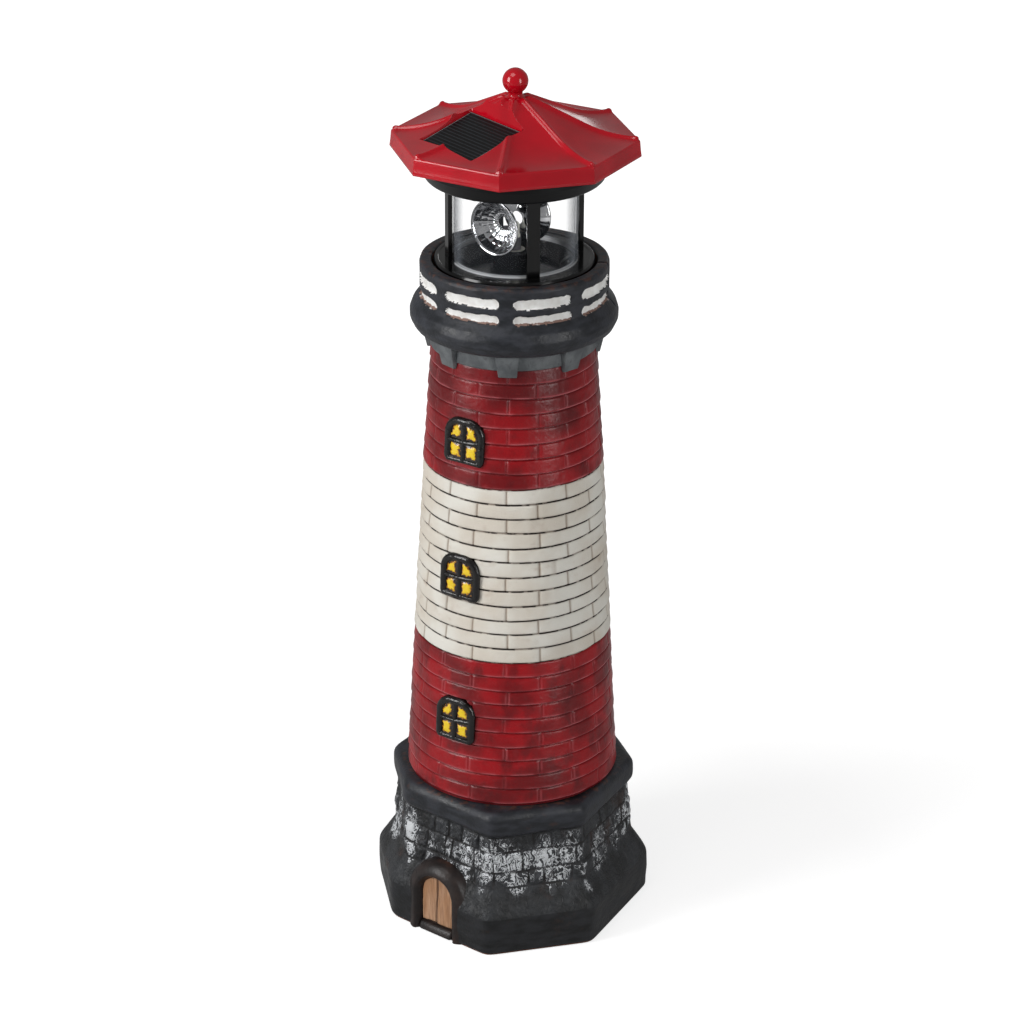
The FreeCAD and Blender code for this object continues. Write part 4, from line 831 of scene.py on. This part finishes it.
# %% Windows
WINDOW_TALL, WINDOW_HALF, WINDOW_LOW_Z = 24.5, 11.45, (112.0, 191.5, 264.5)
FRAME_MIDDLE, SHOULDER_R, LOW_CORNER = 1.6, 7.6, 1.2     # in from the outer edge; radii of its middle
FRAME_SECTION = [
    (-2.1, 0.4), (-1.9, 1.7), (-1.2, 2.4), (-0.2, 2.6), (0.7, 2.5), (1.4, 2.0), (1.75, 1.1), (1.85, -0.8),
]
FRAME_WIDE, PANE_EDGE, BAR_HALF, ARCH_IN, ARCH_R = 3.3, 2.4, 1.2, 9.4, 6.0   # where the daubs end
BAR_SECTION = [
    (-1.35, 0.4), (-1.15, 1.5), (-0.55, 2.1), (0.2, 2.2), (0.8, 1.9), (1.15, 1.4), (1.35, 0.4),
]


def window(number, bottom):
    top, half = bottom + WINDOW_TALL, WINDOW_HALF
    outline, normal = arch_outline(
        half - FRAME_MIDDLE, bottom + FRAME_MIDDLE, top - FRAME_MIDDLE, SHOULDER_R, LOW_CORNER,
    )
    rows = []
    for across, out in FRAME_SECTION:
        place = outline + normal * across
        uneven = 0.3 * (lumps(np.c_[place, place[:, 0]], 3.0, number) - 0.5)
        rows.append(on_tower(place[:, 0], place[:, 1], out + uneven))
    frame_name = "window_frame_%d" % number
    clay_piece(frame_name, grid_mesh(frame_name, np.array(rows)), [BLACK_GLAZE])
    middle = bottom + WINDOW_TALL / 2
    for name, start, end in (
        ("upright", (0.0, bottom + 1.5), (0.3, top - 1.5)),
        ("crossbar", (-half + 1.5, middle - 0.6), (half - 1.5, middle + 0.2)),
    ):
        line = np.linspace(start, end, 26)
        along = (line[-1] - line[0]) / np.linalg.norm(line[-1] - line[0])
        side = np.array([along[1], -along[0]])
        thick = 1 + 0.35 * (lumps(np.c_[line, line[:, :1]], 5.0, number + 4) - 0.5)[:, None]
        rows = []
        for across, out in BAR_SECTION:
            place = line + side * across * thick
            rows.append(on_tower(place[:, 0], place[:, 1], out))
        bar_name = "window_%s_%d" % (name, number)
        bar = grid_mesh(bar_name, np.array(rows), closed_round=False)
        clay_piece(bar_name, bar, [BLACK_GLAZE])
    x = np.linspace(-half + PANE_EDGE, half - PANE_EDGE, 40)
    z = np.linspace(bottom + PANE_EDGE, top - PANE_EDGE, 44)
    wide, tall = np.meshgrid(x, z)
    inset = np.minimum(np.abs(wide) - BAR_HALF, np.abs(tall - middle) - BAR_HALF)
    beyond = np.maximum(np.abs(wide) - (half - ARCH_IN), 0)
    above = np.maximum(tall - (top - ARCH_IN), 0)
    inset = np.minimum(inset, ARCH_R - np.hypot(beyond, above))
    inset = np.minimum(inset, np.minimum(half - FRAME_WIDE - np.abs(wide), tall - bottom - FRAME_WIDE))
    daubed = on_tower(wide, tall, 1.15 + 0.5 * smooth_step(0.0, 2.2, inset))
    masks = {"inset": np.clip(inset / 2.6, 0, 1)}
    panes_name = "window_panes_%d" % number
    clay_piece(panes_name, grid_mesh(panes_name, daubed, closed_round=False, masks=masks), [PANE_YELLOW])


for number, bottom in enumerate(WINDOW_LOW_Z):
    window(number, bottom)

# %% Door
DOOR_SECTION = [
    (5.4, -12.0), (5.0, -7.5), (4.5, -4.2), (3.6, -2.4), (2.2, -1.3), (0.8, -0.5), (-0.4, -0.05),
    (-1.2, 0.0), (-1.9, -0.4), (-2.5, -1.2), (-3.2, -2.2), (-3.9, -3.4), (-4.4, -4.8), (-4.6, -6.0),
]
DOOR_HALF, DOOR_LOW_Z, DOOR_TOP_Z = 14.4, 0.3, 37.1
LEAF_HALF, LEAF_LOW_Z, LEAF_TOP_Z, LEAF_SUNK = 11.6, 3.6, 35.0, 3.4
LEAF_ARCH_Z, LEAF_ARCH_R, LEAF_FOOT_Z = 22.7, 10.1, 5.8  # inside these the leaf isn't dark
SILL_HALF, SILL_BACK = 11.2, 57.0


def door():
    outline, normal = arch_outline(DOOR_HALF, DOOR_LOW_Z, DOOR_TOP_Z, DOOR_HALF)
    rows = []
    for across, out in DOOR_SECTION:
        place = outline + normal * across
        uneven = 0.7 * (lumps(np.c_[place, place[:, 1]], 8.0, 3) - 0.5)
        place[:, 1] = np.maximum(place[:, 1], 0.2)
        rows.append(on_door_wall(place[:, 0], DOOR_FRONT + out - uneven, place[:, 1]))
    surround = grid_mesh("door_surround", np.array(rows), closed_round=False)
    clay_piece("door_surround", surround, [DOOR_STONE])
    x, z = np.linspace(-LEAF_HALF, LEAF_HALF, 70), np.linspace(LEAF_LOW_Z, LEAF_TOP_Z, 90)
    wide, tall = np.meshgrid(x, z)
    split = np.exp(-((wide + 0.3 + 0.5 * np.sin(tall / 6)) / 0.4) ** 2)
    ragged = 1.4 * (lumps(np.stack([wide, 0 * wide, tall], -1), 3.0, 9) - 0.5)
    arch = np.hypot(wide, np.maximum(tall - LEAF_ARCH_Z, 0)) - LEAF_ARCH_R + 0.5 * ragged
    edge = smooth_step(-0.5, 0.5, np.maximum(arch, LEAF_FOOT_Z + ragged - tall))
    grain = lumps(np.stack([wide, 0 * wide, tall / 8], -1), 1.6, 4) - 0.5
    out = DOOR_FRONT - LEAF_SUNK - 0.8 * split - 0.9 * edge + 0.4 * grain
    masks = {"grout": np.maximum(split, edge)}
    leaf = grid_mesh("door_planks", on_door_wall(wide, out, tall), closed_round=False, masks=masks)
    clay_piece("door_planks", leaf, [DOOR_WOOD])
    sill = [
        on_door_wall(x, out, z) for z, front in ((0.4, DOOR_FRONT - 0.2), (5.0, DOOR_FRONT - 2.0))
        for x, out in (
            (-SILL_HALF, front), (SILL_HALF, front), (SILL_HALF, SILL_BACK), (-SILL_HALF, SILL_BACK),
        )
    ]
    soft_box("door_sill", sill, [DOOR_STONE], 1.6, 3)


door()


# %% [markdown]
# ## Lamp head finishes
# The roof is ABS moulded in red and polished in the mould. The black parts are ABS too. The lantern
# wall is clear acrylic, and the reflectors are ABS with a vacuum-deposited metal coat. A Bevel node
# rounds the normals near an edge, which gives mouldings the thin line of light that their small radius
# catches.

# %% Moulded plastics
def moulded(name, colour, deep, roughness, grain_depth, edge=0.0, shine=0.5):
    """ABS and like plastics, IOR 1.54; grain_depth in mm is the mould's polish, edge its edge radius."""
    material, tree, shader, place = begin(name)
    tint = two_tones(tree, place, deep, colour, 24, 0.35, 0.65, 2.0)
    grain = patches(tree, place, 1.2)
    inputs = {"Height": grain, "Distance": grain_depth * MM}
    if edge:
        inputs["Normal"] = add(tree, "Bevel", "Normal", {"Radius": edge * MM}, samples=6)
    fill(tree, shader, {
        "Base Color": tint, "Roughness": roughness, "IOR": 1.54, "Specular IOR Level": shine,
        "Normal": add(tree, "Bump", "Normal", inputs),
    })
    return material


RED_ABS = moulded("Red_gloss_ABS", "B8041A", "A60316", 0.16, 0.012, 0.5, 0.4)
BLACK_ABS = moulded("Black_satin_ABS", "08080A", "050506", 0.32, 0.02, 0.4, 0.2)
BLACK_GLOSS = moulded("Black_gloss_ABS", "050506", "030303", 0.14, 0.003, 0.4, 0.3)
WHITE_POM = moulded("Natural_acetal", "E6E4DC", "DEDCD2", 0.4, 0.03, 0.2)
# The LED stem is the same white acetal as the gears, darkened to grey as painted shade.
STEM_ACETAL_PAINTED_SHADE = moulded("Acetal_with_painted_shade", "4A4A4E", "424246", 0.4, 0.03, 0.2)
GREEN_BOARD = moulded("Solder_mask_on_laminate", "1E5B2E", "184E27", 0.3, 0.04)
CELL_JACKET = moulded("Shrink_sleeve_green", "1E6A35", "1A5F30", 0.3, 0.02)
DARK_PARTS = moulded("Epoxy_black_parts", "17171A", "111113", 0.5, 0.04)
LED_EPOXY = moulded("Clear_epoxy_lens", "E8E8DC", "DFE0D6", 0.08, 0.005)
print("mouldings ready")


# %% Clear acrylic, mirror coat, cells and steel
def clear_acrylic():
    """PMMA wall, IOR 1.49: nearly unseen face on; its grey edges are painted shade, and the white ring at
    its cut foot is a painted highlight.
    """
    material, tree, shader, place = begin("Clear_acrylic")
    waves = patches(tree, place, 14, detail=1.0)
    # Painted shade: the wall turns grey and less clear towards its edges.
    facing = add(tree, "LayerWeight", "Facing", {"Blend": 0.5})
    body = add(tree, "MapRange", "Result", {
        "Value": facing, "From Min": 0.45, "From Max": 0.97, "To Min": 0.03, "To Max": 0.6,
    })
    height = add(tree, "SeparateXYZ", "Z", {"Vector": place})
    # Painted highlight: a white ring along the tube's cut foot.
    foot = add(tree, "MapRange", "Result", {
        "Value": height, "From Min": 362.8 * MM, "From Max": 362.0 * MM, "To Max": 0.7,
    })
    colour = layered(tree, linear("8E949C"), ("F4F6F8", 1.0, foot))
    alpha = add(tree, "Math", "Value", {0: body, 1: foot}, operation="MAXIMUM")
    surface(tree, shader, colour, 0.03, waves, 0.02, {"IOR": 1.49, "Alpha": alpha})
    return material


def mirror_coat():
    """Aluminium evaporated on ABS: a metal, very smooth, a little dull where the coat is thin."""
    material, tree, shader, place = begin("Vacuum_metal_coat")
    colour = two_tones(tree, place, "D2D3D6", "EDEEF0", 5, 0.3, 0.7, 2.0)
    fill(tree, shader, {"Base Color": colour, "Metallic": 1.0, "Roughness": 0.05})
    return material


def solar_cells():
    """Dark silicon under clear resin; the masks are the joints between cells and the laminate's cut rim."""
    material, tree, shader, place = begin("Laminated_solar_cells")
    colour = two_tones(tree, place, "030304", "070709", 3.0, 0.3, 0.7)
    colour = layered(tree, colour, ("35393D", 0.8, "line"), ("9EA2A4", 0.7, "rim"))
    fill(tree, shader, {"Base Color": colour, "Roughness": 0.38, "Specular IOR Level": 0.15})
    return material


def plated_steel():
    """Zinc on steel: a metal with dull cloudy patches of about 2 mm."""
    material, tree, shader, place = begin("Zinc_plated_steel")
    colour = two_tones(tree, place, "B8B8B6", "8F908F", 2.0, 0.3, 0.7)
    surface(tree, shader, colour, 0.3, patches(tree, place, 0.6), 0.02, {"Metallic": 1.0})
    return material


CLEAR = clear_acrylic()
MIRROR = mirror_coat()
SOLAR = solar_cells()
STEEL = plated_steel()
print("lamp head finishes ready")

# %% Carried-over nodes get their finishes
KEPT_NODES = {
    STEEL: [
        "roof_screws", "housing_screws", "motor_screws", "board_screws", "motor_shaft", "gear_motor",
        "contact_plate", "contact_spring",
    ],
    BLACK_ABS: ["base_housing", "battery_door", "switch_knob", "roof_dish"],
    BLACK_GLOSS: ["reflector_yoke", "lantern_deck"],
    WHITE_POM: ["rotor_gear", "drive_pinion"],
    DARK_PARTS: ["switch_body", "board_parts"],
    STEM_ACETAL_PAINTED_SHADE: ["led_stem"], LED_EPOXY: ["led"], CELL_JACKET: ["battery"], GREEN_BOARD: ["circuit_board"],
    CLEAR: ["clear_tube"],
}
for finish, nodes in KEPT_NODES.items():
    for node in nodes:
        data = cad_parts[node].data
        data.materials.clear()
        data.materials.append(finish)
print(sum(len(nodes) for nodes in KEPT_NODES.values()), "nodes keep their own shape")

# %% [markdown]
# ## The red roof
# The roof is one ABS moulding: eight slopes that bend out to the eave, a bead on each ridge that ends in
# a small nub over its corner, an upright fascia with a rounded top edge, and a sunk pocket for the solar
# panel. Its height is a formula of the place, so it is a grid that goes over the outside, round the
# fascia's lower edge and back up the inside. The pocket is cut out with a boolean, and its walls are a
# second grid, which looks up the same formula to end just under the slopes.

# %% Height of the slopes, ridges and nubs
EAVE_R, EAVE_Z, PEAK_R = 61.6, 424.7, 5.5
EDGE_R, EDGE_Z, EDGE_ROUND = 60.7, 423.85, 0.9     # middle of the fascia's rounded top edge
FASCIA = ((61.9, 420.6), (62.2, 418.0), (62.45, 416.6), (62.2, 416.1), (60.9, 416.1), (60.4, 416.5))
ROOF_SLOPE = math.radians(25.0)
ROOF_SKIN, HOLE_IN_PEAK_R = 2.0, PEAK_R - 1.2      # the ball's foot closes the hole
BEAD_TALL, BEAD_HALF, FOOT_TALL, FOOT_HALF = 1.35, 1.35, 0.35, 3.2
NUB_R, NUB_TALL, NUB_LONG, NUB_HALF = 60.2, 0.75, 1.5, 1.7
HALF_RUN = (EAVE_R - PEAK_R) / 2
BEND_R = HALF_RUN / math.sin(ROOF_SLOPE)


def slope_height(radius):
    """Height of a ridge line at its distance from the axis: a bend from the eave, then straight."""
    run = EAVE_R - np.asarray(radius, float)
    bend = BEND_R - np.sqrt(np.maximum(BEND_R ** 2 - np.clip(run, 0, HALF_RUN) ** 2, 0))
    return EAVE_Z + bend + np.maximum(run - HALF_RUN, 0) * math.tan(ROOF_SLOPE)


def bead_height(radius, off_corner):
    """Bead along a ridge, which fades to the slopes, with a nub at the corner."""
    aside = radius * np.sin(np.radians(off_corner))
    bead = BEAD_TALL * np.exp(-(np.abs(aside) / BEAD_HALF) ** 2.4)
    foot = FOOT_TALL * np.exp(-(aside / FOOT_HALF) ** 2)
    nub = NUB_TALL * np.exp(-((radius - NUB_R) / NUB_LONG) ** 2 - (aside / NUB_HALF) ** 2)
    ends = smooth_step(62.0, 58.5, radius) * smooth_step(3.5, 8.0, radius)
    return (bead + foot) * ends + nub


def roof_height(x, y):
    """Top of the roof over a place in the lamp head's own turn."""
    radius = np.hypot(x, y)
    angle = np.degrees(np.arctan2(x, -y))
    off_flat = np.abs(off_nearest(angle))
    ridge_radius = radius * np.cos(np.radians(off_flat)) / math.cos(HALF_SIDE)
    return slope_height(ridge_radius) + bead_height(radius, SIDE_TURN / 2 - off_flat)


print("peak", round(float(slope_height(PEAK_R)), 2))

# %% Roof shell
PANEL_MIDDLE, PANEL_TILT, PANEL_PLACE = (0.0, -27.0, 428.9), math.radians(16.5), SIDE_TURN / 2
POCKET_HALF = (20.4, 16.4)           # half width across the slope, half length down it
POCKET_DEPTH, POCKET_LEAN, SIDE_LEAN, POCKET_TALL = 1.6, 9.0, 7.0, 18.0


def roof_grid():
    near_ridge = [0.0, 0.4, 0.8, 1.2, 1.6, 2.0, 2.5, 3.1, 3.9, 5.0, 6.5, 8.5, 11, 14, 17, 20, 22.5]
    offsets = near_ridge + [SIDE_TURN - a for a in near_ridge[-2:0:-1]]
    angle = np.array([SIDE_TURN / 2 + SIDE_TURN * k + a for k in range(SIDES) for a in offsets])
    off_flat = np.abs(off_nearest(angle))
    to_ridge = math.cos(HALF_SIDE) / np.cos(np.radians(off_flat))
    top = np.concatenate([np.linspace(HOLE_IN_PEAK_R, 54.0, 44), np.linspace(54.8, EDGE_R, 12)])
    rows = []
    for radius in top:
        r = radius * to_ridge
        bead = bead_height(r, SIDE_TURN / 2 - off_flat)
        rows.append((r, slope_height(max(radius, PEAK_R)) + bead))
    for turn in np.radians(np.arange(15.0, 91.0, 15.0)):
        edge_r = EDGE_R + EDGE_ROUND * math.sin(turn)
        rows.append((edge_r * to_ridge, EDGE_Z + EDGE_ROUND * math.cos(turn) + 0 * angle))
    for radius, height in FASCIA:
        rows.append((radius * to_ridge, height + 0 * angle))
    for radius in (59.4, 56.0, 50.0, 42.0, 34.0, 22.0, 10.0, HOLE_IN_PEAK_R):
        rows.append((radius * to_ridge, slope_height(radius) - ROOF_SKIN + 0 * angle))
    radius = np.array([r for r, _ in rows])
    height = np.array([z for _, z in rows])
    return ring_points(radius, height, angle[None, :] + HEAD_TURN)[:, ::-1]


def to_slope(points):
    """Places points that were drawn flat, downhill along -Y, on the solar panel's slope."""
    x, y, z = np.moveaxis(np.asarray(points, float), -1, 0)
    c, s = math.cos(PANEL_TILT), math.sin(PANEL_TILT)
    y, z = y * c - z * s + PANEL_MIDDLE[1], y * s + z * c + PANEL_MIDDLE[2]
    return turned(np.stack([x, y, z], -1), math.radians(HEAD_TURN - PANEL_PLACE))


def pocket_cutter():
    wide, long = POCKET_HALF
    corners = []
    for z in (-4.0, 0.0, POCKET_TALL):
        share = max(z, 0) / POCKET_TALL
        x, uphill = wide + SIDE_LEAN * share, long + POCKET_LEAN * share
        corners += [(-x, -long, z), (x, -long, z), (x, uphill, z), (-x, uphill, z)]
    faces = [(3, 2, 1, 0), (8, 9, 10, 11)]
    faces += [(r + k, r + (k + 1) % 4, r + (k + 1) % 4 + 4, r + k + 4) for r in (0, 4) for k in range(4)]
    mesh = bpy.data.meshes.new("pocket_cutter")
    mesh.from_pydata([Vector(p) * MM for p in to_slope(corners)], [], faces)
    return mesh


def roof_shell():
    mesh = grid_mesh("roof_shell", roof_grid(), closed_up=True)
    piece = new_piece("roof_shell", mesh, "lamp_head", [RED_ABS], ["roof_cap"])
    cutter = bpy.data.objects.new("pocket_cutter", pocket_cutter())
    bpy.context.scene.collection.objects.link(cutter)
    applied(piece, "BOOLEAN", operation="DIFFERENCE", solver="EXACT", object=cutter)
    bpy.data.objects.remove(cutter)
    piece.data.set_sharp_from_angle(angle=math.radians(40))
    print("roof after the cut", len(piece.data.vertices), "points")


def rounded_rectangle(half_wide, half_long, corner, step=1.0):
    """Points round a rectangle with round corners."""
    points = []
    for turn, sx, sy in ((0, 1, 1), (90, -1, 1), (180, -1, -1), (270, 1, -1)):
        for k in range(5):
            a = math.radians(turn + 22.5 * k)
            x = sx * (half_wide - corner) + corner * math.cos(a)
            points.append((x, sy * (half_long - corner) + corner * math.sin(a)))
    outline = np.array(points + points[:1])
    whole = lengths_along(outline)[-1]
    return points_at(outline, np.linspace(0, whole, int(whole / step), endpoint=False))


def pocket_walls():
    """Floor and walls of the pocket; each wall ends just under the slope that it cuts."""
    wide, long = POCKET_HALF
    edge = rounded_rectangle(wide - 0.05, long - 0.05, 0.7)

    def place(up):
        share = np.clip(up, 0, None) / POCKET_TALL
        x = edge[:, 0] + share * SIDE_LEAN * np.clip(edge[:, 0] / (wide - 0.7), -1, 1)
        lean = smooth_step(long - 1.0, long - 0.2, edge[:, 1])
        return to_slope(np.stack([x, edge[:, 1] + share * POCKET_LEAN * lean, up], -1))

    low, high = np.full(len(edge), -POCKET_DEPTH), np.full(len(edge), POCKET_TALL)
    for _ in range(30):
        middle = (low + high) / 2
        spot = place(middle)
        x, y, _ = turned(spot, math.radians(-HEAD_TURN)).T
        under = roof_height(x, y) - 0.12 > spot[:, 2]
        low, high = np.where(under, middle, low), np.where(under, high, middle)
    rows = []
    floor = np.full((len(edge), 1), -POCKET_DEPTH)
    for share in (0.02, 0.5, 0.95, 0.985):
        rows.append(to_slope(np.hstack([edge * share, floor])))
    for share in (0.06, 0.15, 0.3, 0.5, 0.7, 0.85, 0.95, 1.0):
        rows.append(place(-POCKET_DEPTH + (low + POCKET_DEPTH) * share))
    return grid_mesh("roof_pocket", np.array(rows)[:, ::-1])


roof_shell()
new_piece("roof_pocket", pocket_walls(), "lamp_head", [RED_ABS])

# %% Ball on the roof's peak
BALL_MIDDLE, BALL_R = 452.2, 6.4


def ball():
    turn = np.radians(np.linspace(0.5, 143.0, 46))
    outline = list(zip(BALL_R * np.sin(turn), BALL_MIDDLE + BALL_R * np.cos(turn)))
    outline += [(3.6, 446.4), (3.55, 445.6), (3.75, 444.9), (4.3, 444.45)]
    outline += [(5.0, 444.3), (5.3, 443.9), (5.2, 443.2)]
    outline = np.array(outline)
    angle = np.arange(0.0, FULL_TURN, 5.0)[None]
    return grid_mesh("roof_ball", ring_points(outline[:, :1], outline[:, 1:], angle)[::-1])


new_piece("roof_ball", ball(), "lamp_head", [RED_ABS], ["finial"])

# %% [markdown]
# ## The solar panel
# Thin cells lie side by side under clear resin, and the joint between two cells is a fine grey line
# along the slope's width. The cut edge of the laminate is paler, and shows as a thin rim.

# %% Laminated cells
CELL_COUNT = 14
PANEL_HALF, RIM_STRIP, EDGE_CUT = (20.0, 16.0), 0.9, 0.25
FALLS = [1.55, 0.3, 0]               # how deep the edge of the laminate goes, from its foot to its face


def laminate():
    wide, long = PANEL_HALF
    inside = wide - RIM_STRIP
    x = np.array([-wide, -wide, -wide + EDGE_CUT, -inside, -12, -4])
    x = np.concatenate([x, -x[::-1]])
    drop_x = np.array(FALLS + [0] * 6 + FALLS[::-1])
    inner = np.linspace(-long + RIM_STRIP, long - RIM_STRIP, CELL_COUNT * 12 + 1)
    y = np.concatenate([[-long, -long, -long + EDGE_CUT], inner, [long - EDGE_CUT, long, long]])
    drop_y = np.concatenate([FALLS, 0 * inner, FALLS[::-1]])
    across, down = np.meshgrid(x, y)
    drop = np.maximum(drop_x[None, :], drop_y[:, None])
    phase = (down + long - RIM_STRIP) / (2 * (long - RIM_STRIP)) * CELL_COUNT
    on_cells = (np.abs(across) < wide - 0.8) * (np.abs(down) < long - 0.8)
    line = np.exp(-((phase - np.round(phase)) / 0.11) ** 2) * on_cells
    rim = np.maximum(np.abs(across) - (wide - 0.7), np.abs(down) - (long - 0.7))
    rim = smooth_step(-0.1, 0.3, rim)
    points = to_slope(np.stack([across, down, -drop - 0.04 * line], -1))
    return grid_mesh("solar_laminate", points, closed_round=False, masks={"line": line, "rim": rim})


new_piece("solar_laminate", laminate(), "lamp_head", [SOLAR], ["solar_panel"])


# %% [markdown]
# ## The reflectors
# Each bowl is a shallow ball-shaped mirror that throws the lamp's light out in a beam. Its inside is
# moulded in small pillows, ring by ring, so that one lamp shows as many dots of light. The bowl is one
# closed grid: up the mirror side, over a rolled rim and back down the outside.

# %% Faceted bowls
BOWL_MIDDLE = (-1.5, -1.1, 380.2)
MIRROR_R, MIRROR_CENTRE, RIM_R, HOLE_R, BOWL_WALL = 15.05, 20.55, 13.5, 3.4, 0.9
FACET_RINGS, FACETS_ROUND, PILLOW, FACET_STEPS = 4, 22, 0.40, 7
BOWL_TURN = -7.3
BOWL_RIM = (
    (13.3, 13.9), (13.5, 14.15), (13.75, 13.95), (13.95, 14.2), (14.3, 14.1), (14.45, 13.6), (14.2, 13.0),
)


def bowl(name, side):
    """side is -1 for the front bowl and 1 for the one at the back."""
    columns, rings = FACETS_ROUND * FACET_STEPS, FACET_RINGS * FACET_STEPS
    angle = np.arange(columns) * FULL_TURN / columns
    round_share = np.abs(np.sin(np.radians(angle * FACETS_ROUND / 2)))
    rows = []
    for k in range(rings + 1):
        share = k / rings
        radius = HOLE_R + (RIM_R - 0.25 - HOLE_R) * share
        ring_share = abs(math.sin(math.pi * share * FACET_RINGS))
        pillow = PILLOW * math.sqrt(ring_share) * np.sqrt(round_share)
        pillow = pillow * smooth_step(1.0, 0.93, share)
        depth = MIRROR_CENTRE - math.sqrt(MIRROR_R ** 2 - radius ** 2)
        rows.append((radius + 0 * angle, depth + pillow))
    back = MIRROR_R + BOWL_WALL
    outside = [(r, MIRROR_CENTRE - math.sqrt(back ** 2 - r ** 2)) for r in np.linspace(13.9, HOLE_R, 22)]
    rows += [(r + 0 * angle, d + 0 * angle) for r, d in [*BOWL_RIM, *outside]]
    radius, depth = np.array([r for r, _ in rows]), np.array([d for _, d in rows])
    turn = np.radians(angle)[None, :]
    local = np.stack([radius * np.cos(turn) * -side, side * depth, radius * np.sin(turn)], -1)
    placed = turned(local + BOWL_MIDDLE, math.radians(BOWL_TURN + HEAD_TURN))
    return grid_mesh(name, placed, closed_up=True)


for name, node, side in (("bowl_front", "reflector_front", -1), ("bowl_rear", "reflector_rear", 1)):
    new_piece(name, bowl(name, side), "rotor", [MIRROR], [node])
print("bowls ready")


# %% [markdown]
# ## Camera, floor and light
# The camera was fitted to the photograph: a long lens from about 1.8 m, looking down at 24 degrees.

# %% Camera
LENS_PIXELS, PICTURE = 3479.0, 1024
CAMERA_DISTANCE, CAMERA_HEIGHT, SIDE_SHIFT = 1628.0, 962.2, 0.6
CAMERA_TURN, CAMERA_PITCH, CAMERA_ROLL = math.radians(33.7), 0.427, 0.005


def make_camera():
    data = bpy.data.cameras.new("camera")
    camera = bpy.data.objects.new("camera", data)
    bpy.context.scene.collection.objects.link(camera)
    data.sensor_width = 36.0
    data.lens = LENS_PIXELS / PICTURE * data.sensor_width
    forward = Vector((0, math.cos(CAMERA_PITCH), -math.sin(CAMERA_PITCH)))
    top = Vector((0, math.sin(CAMERA_PITCH), math.cos(CAMERA_PITCH)))
    right = Vector((1, 0, 0))
    rolled_right = right * math.cos(CAMERA_ROLL) + top * math.sin(CAMERA_ROLL)
    rolled_top = top * math.cos(CAMERA_ROLL) - right * math.sin(CAMERA_ROLL)
    basis = Matrix((rolled_right, rolled_top, -forward)).transposed().to_4x4()
    basis.translation = Vector((-SIDE_SHIFT, -CAMERA_DISTANCE, CAMERA_HEIGHT)) * MM
    camera.matrix_world = Matrix.Rotation(CAMERA_TURN, 4, "Z") @ basis
    data.clip_start, data.clip_end = 0.05, 30
    bpy.context.scene.camera = camera


make_camera()
print("camera at", [round(c, 3) for c in bpy.context.scene.camera.matrix_world.translation])

# %% [markdown]
# The background is white to the camera and to glass, and much dimmer to glossy surfaces, so that
# mirrors and black plastic keep their darks. The world's light on matt surfaces is low, so that a large
# lamp at the front left can shape the tower. A tall narrow lamp at the right gives the long upright
# highlights, one high at the left lights the roof, and a faint one behind draws the far edges.

# %% Floor, world and lamps
GLOSS_SHARE = 0.14                   # how bright the white world is in gloss
FLOOR_HALF = 3.0                     # metres, like the lamps' places and sizes
MIDDLE_HEIGHT = 0.23                 # of the object; all lamps face it


def seen_white(tree, matt, white):
    """Strength that is `white` where the surface is seen directly or through glass, less so in gloss."""
    camera, glass, glossy = (
        add(tree, "LightPath", "Is %s Ray" % kind, {}) for kind in ("Camera", "Transmission", "Glossy")
    )
    clear = add(tree, "Math", "Value", {0: camera, 1: glass}, operation="MAXIMUM")
    gloss = add(tree, "Math", "Value", {0: glossy, 1: GLOSS_SHARE}, operation="MULTIPLY")
    seen = add(tree, "Math", "Value", {0: clear, 1: gloss}, operation="MAXIMUM")
    return add(tree, "MapRange", "Result", {"Value": seen, "To Min": matt, "To Max": white})


def pale_floor():
    """Matt paper, which fades to plain white between 0.2 and 0.6 m from the middle."""
    material, tree, shader, place = begin("Pale_paper_floor")
    distance = add(tree, "VectorMath", "Value", {0: place}, operation="LENGTH")
    far = add(tree, "MapRange", "Result", {
        "Value": distance, "From Min": 0.2, "From Max": 0.6, "To Min": 0.76, "To Max": 1.0,
    })
    fill(tree, shader, {
        "Base Color": linear("B4B4B4"), "Roughness": 0.9, "Emission Color": linear("FFFFFF"),
        "Emission Strength": seen_white(tree, 0.0, far),
    })
    mesh = bpy.data.meshes.new("floor")
    corners = [(x * FLOOR_HALF, y * FLOOR_HALF, 0) for x, y in ((-1, -1), (1, -1), (1, 1), (-1, 1))]
    mesh.from_pydata(corners, [], [(0, 1, 2, 3)])
    mesh.materials.append(material)
    floor = bpy.data.objects.new("floor", mesh)
    bpy.context.scene.collection.objects.link(floor)


def studio_world(ambient):
    world = bpy.data.worlds.new("studio")
    world.use_nodes = True
    tree = world.node_tree
    strength = seen_white(tree, ambient, 1.0)
    fill(tree, tree.nodes["Background"], {"Color": linear("FFFFFF"), "Strength": strength})
    bpy.context.scene.world = world


def softbox(name, azimuth, elevation, distance, width, height, watts):
    """Area lamp that faces the object's middle; azimuth is counted from the camera's side, towards +X."""
    data = bpy.data.lights.new(name, "AREA")
    data.shape = "RECTANGLE"
    data.size, data.size_y, data.energy = width, height, watts
    lamp = bpy.data.objects.new(name, data)
    bpy.context.scene.collection.objects.link(lamp)
    turn = math.radians(azimuth) + CAMERA_TURN
    lift = math.radians(elevation)
    away = Vector((math.sin(turn) * math.cos(lift), -math.cos(turn) * math.cos(lift), math.sin(lift)))
    lamp.location = Vector((0, 0, MIDDLE_HEIGHT)) + away * distance
    lamp.rotation_euler = (-away).to_track_quat("-Z", "Y").to_euler()


pale_floor()
studio_world(0.16)
softbox("left", -64, 20, 1.5, 0.5, 0.9, 16)
softbox("right", 46, 14, 1.6, 0.35, 0.9, 9)
softbox("top", -50, 66, 1.4, 0.6, 0.6, 4.5)
softbox("behind", 166, 8, 1.6, 0.4, 0.2, 0.4)
bpy.context.scene.view_settings.view_transform = "Standard"
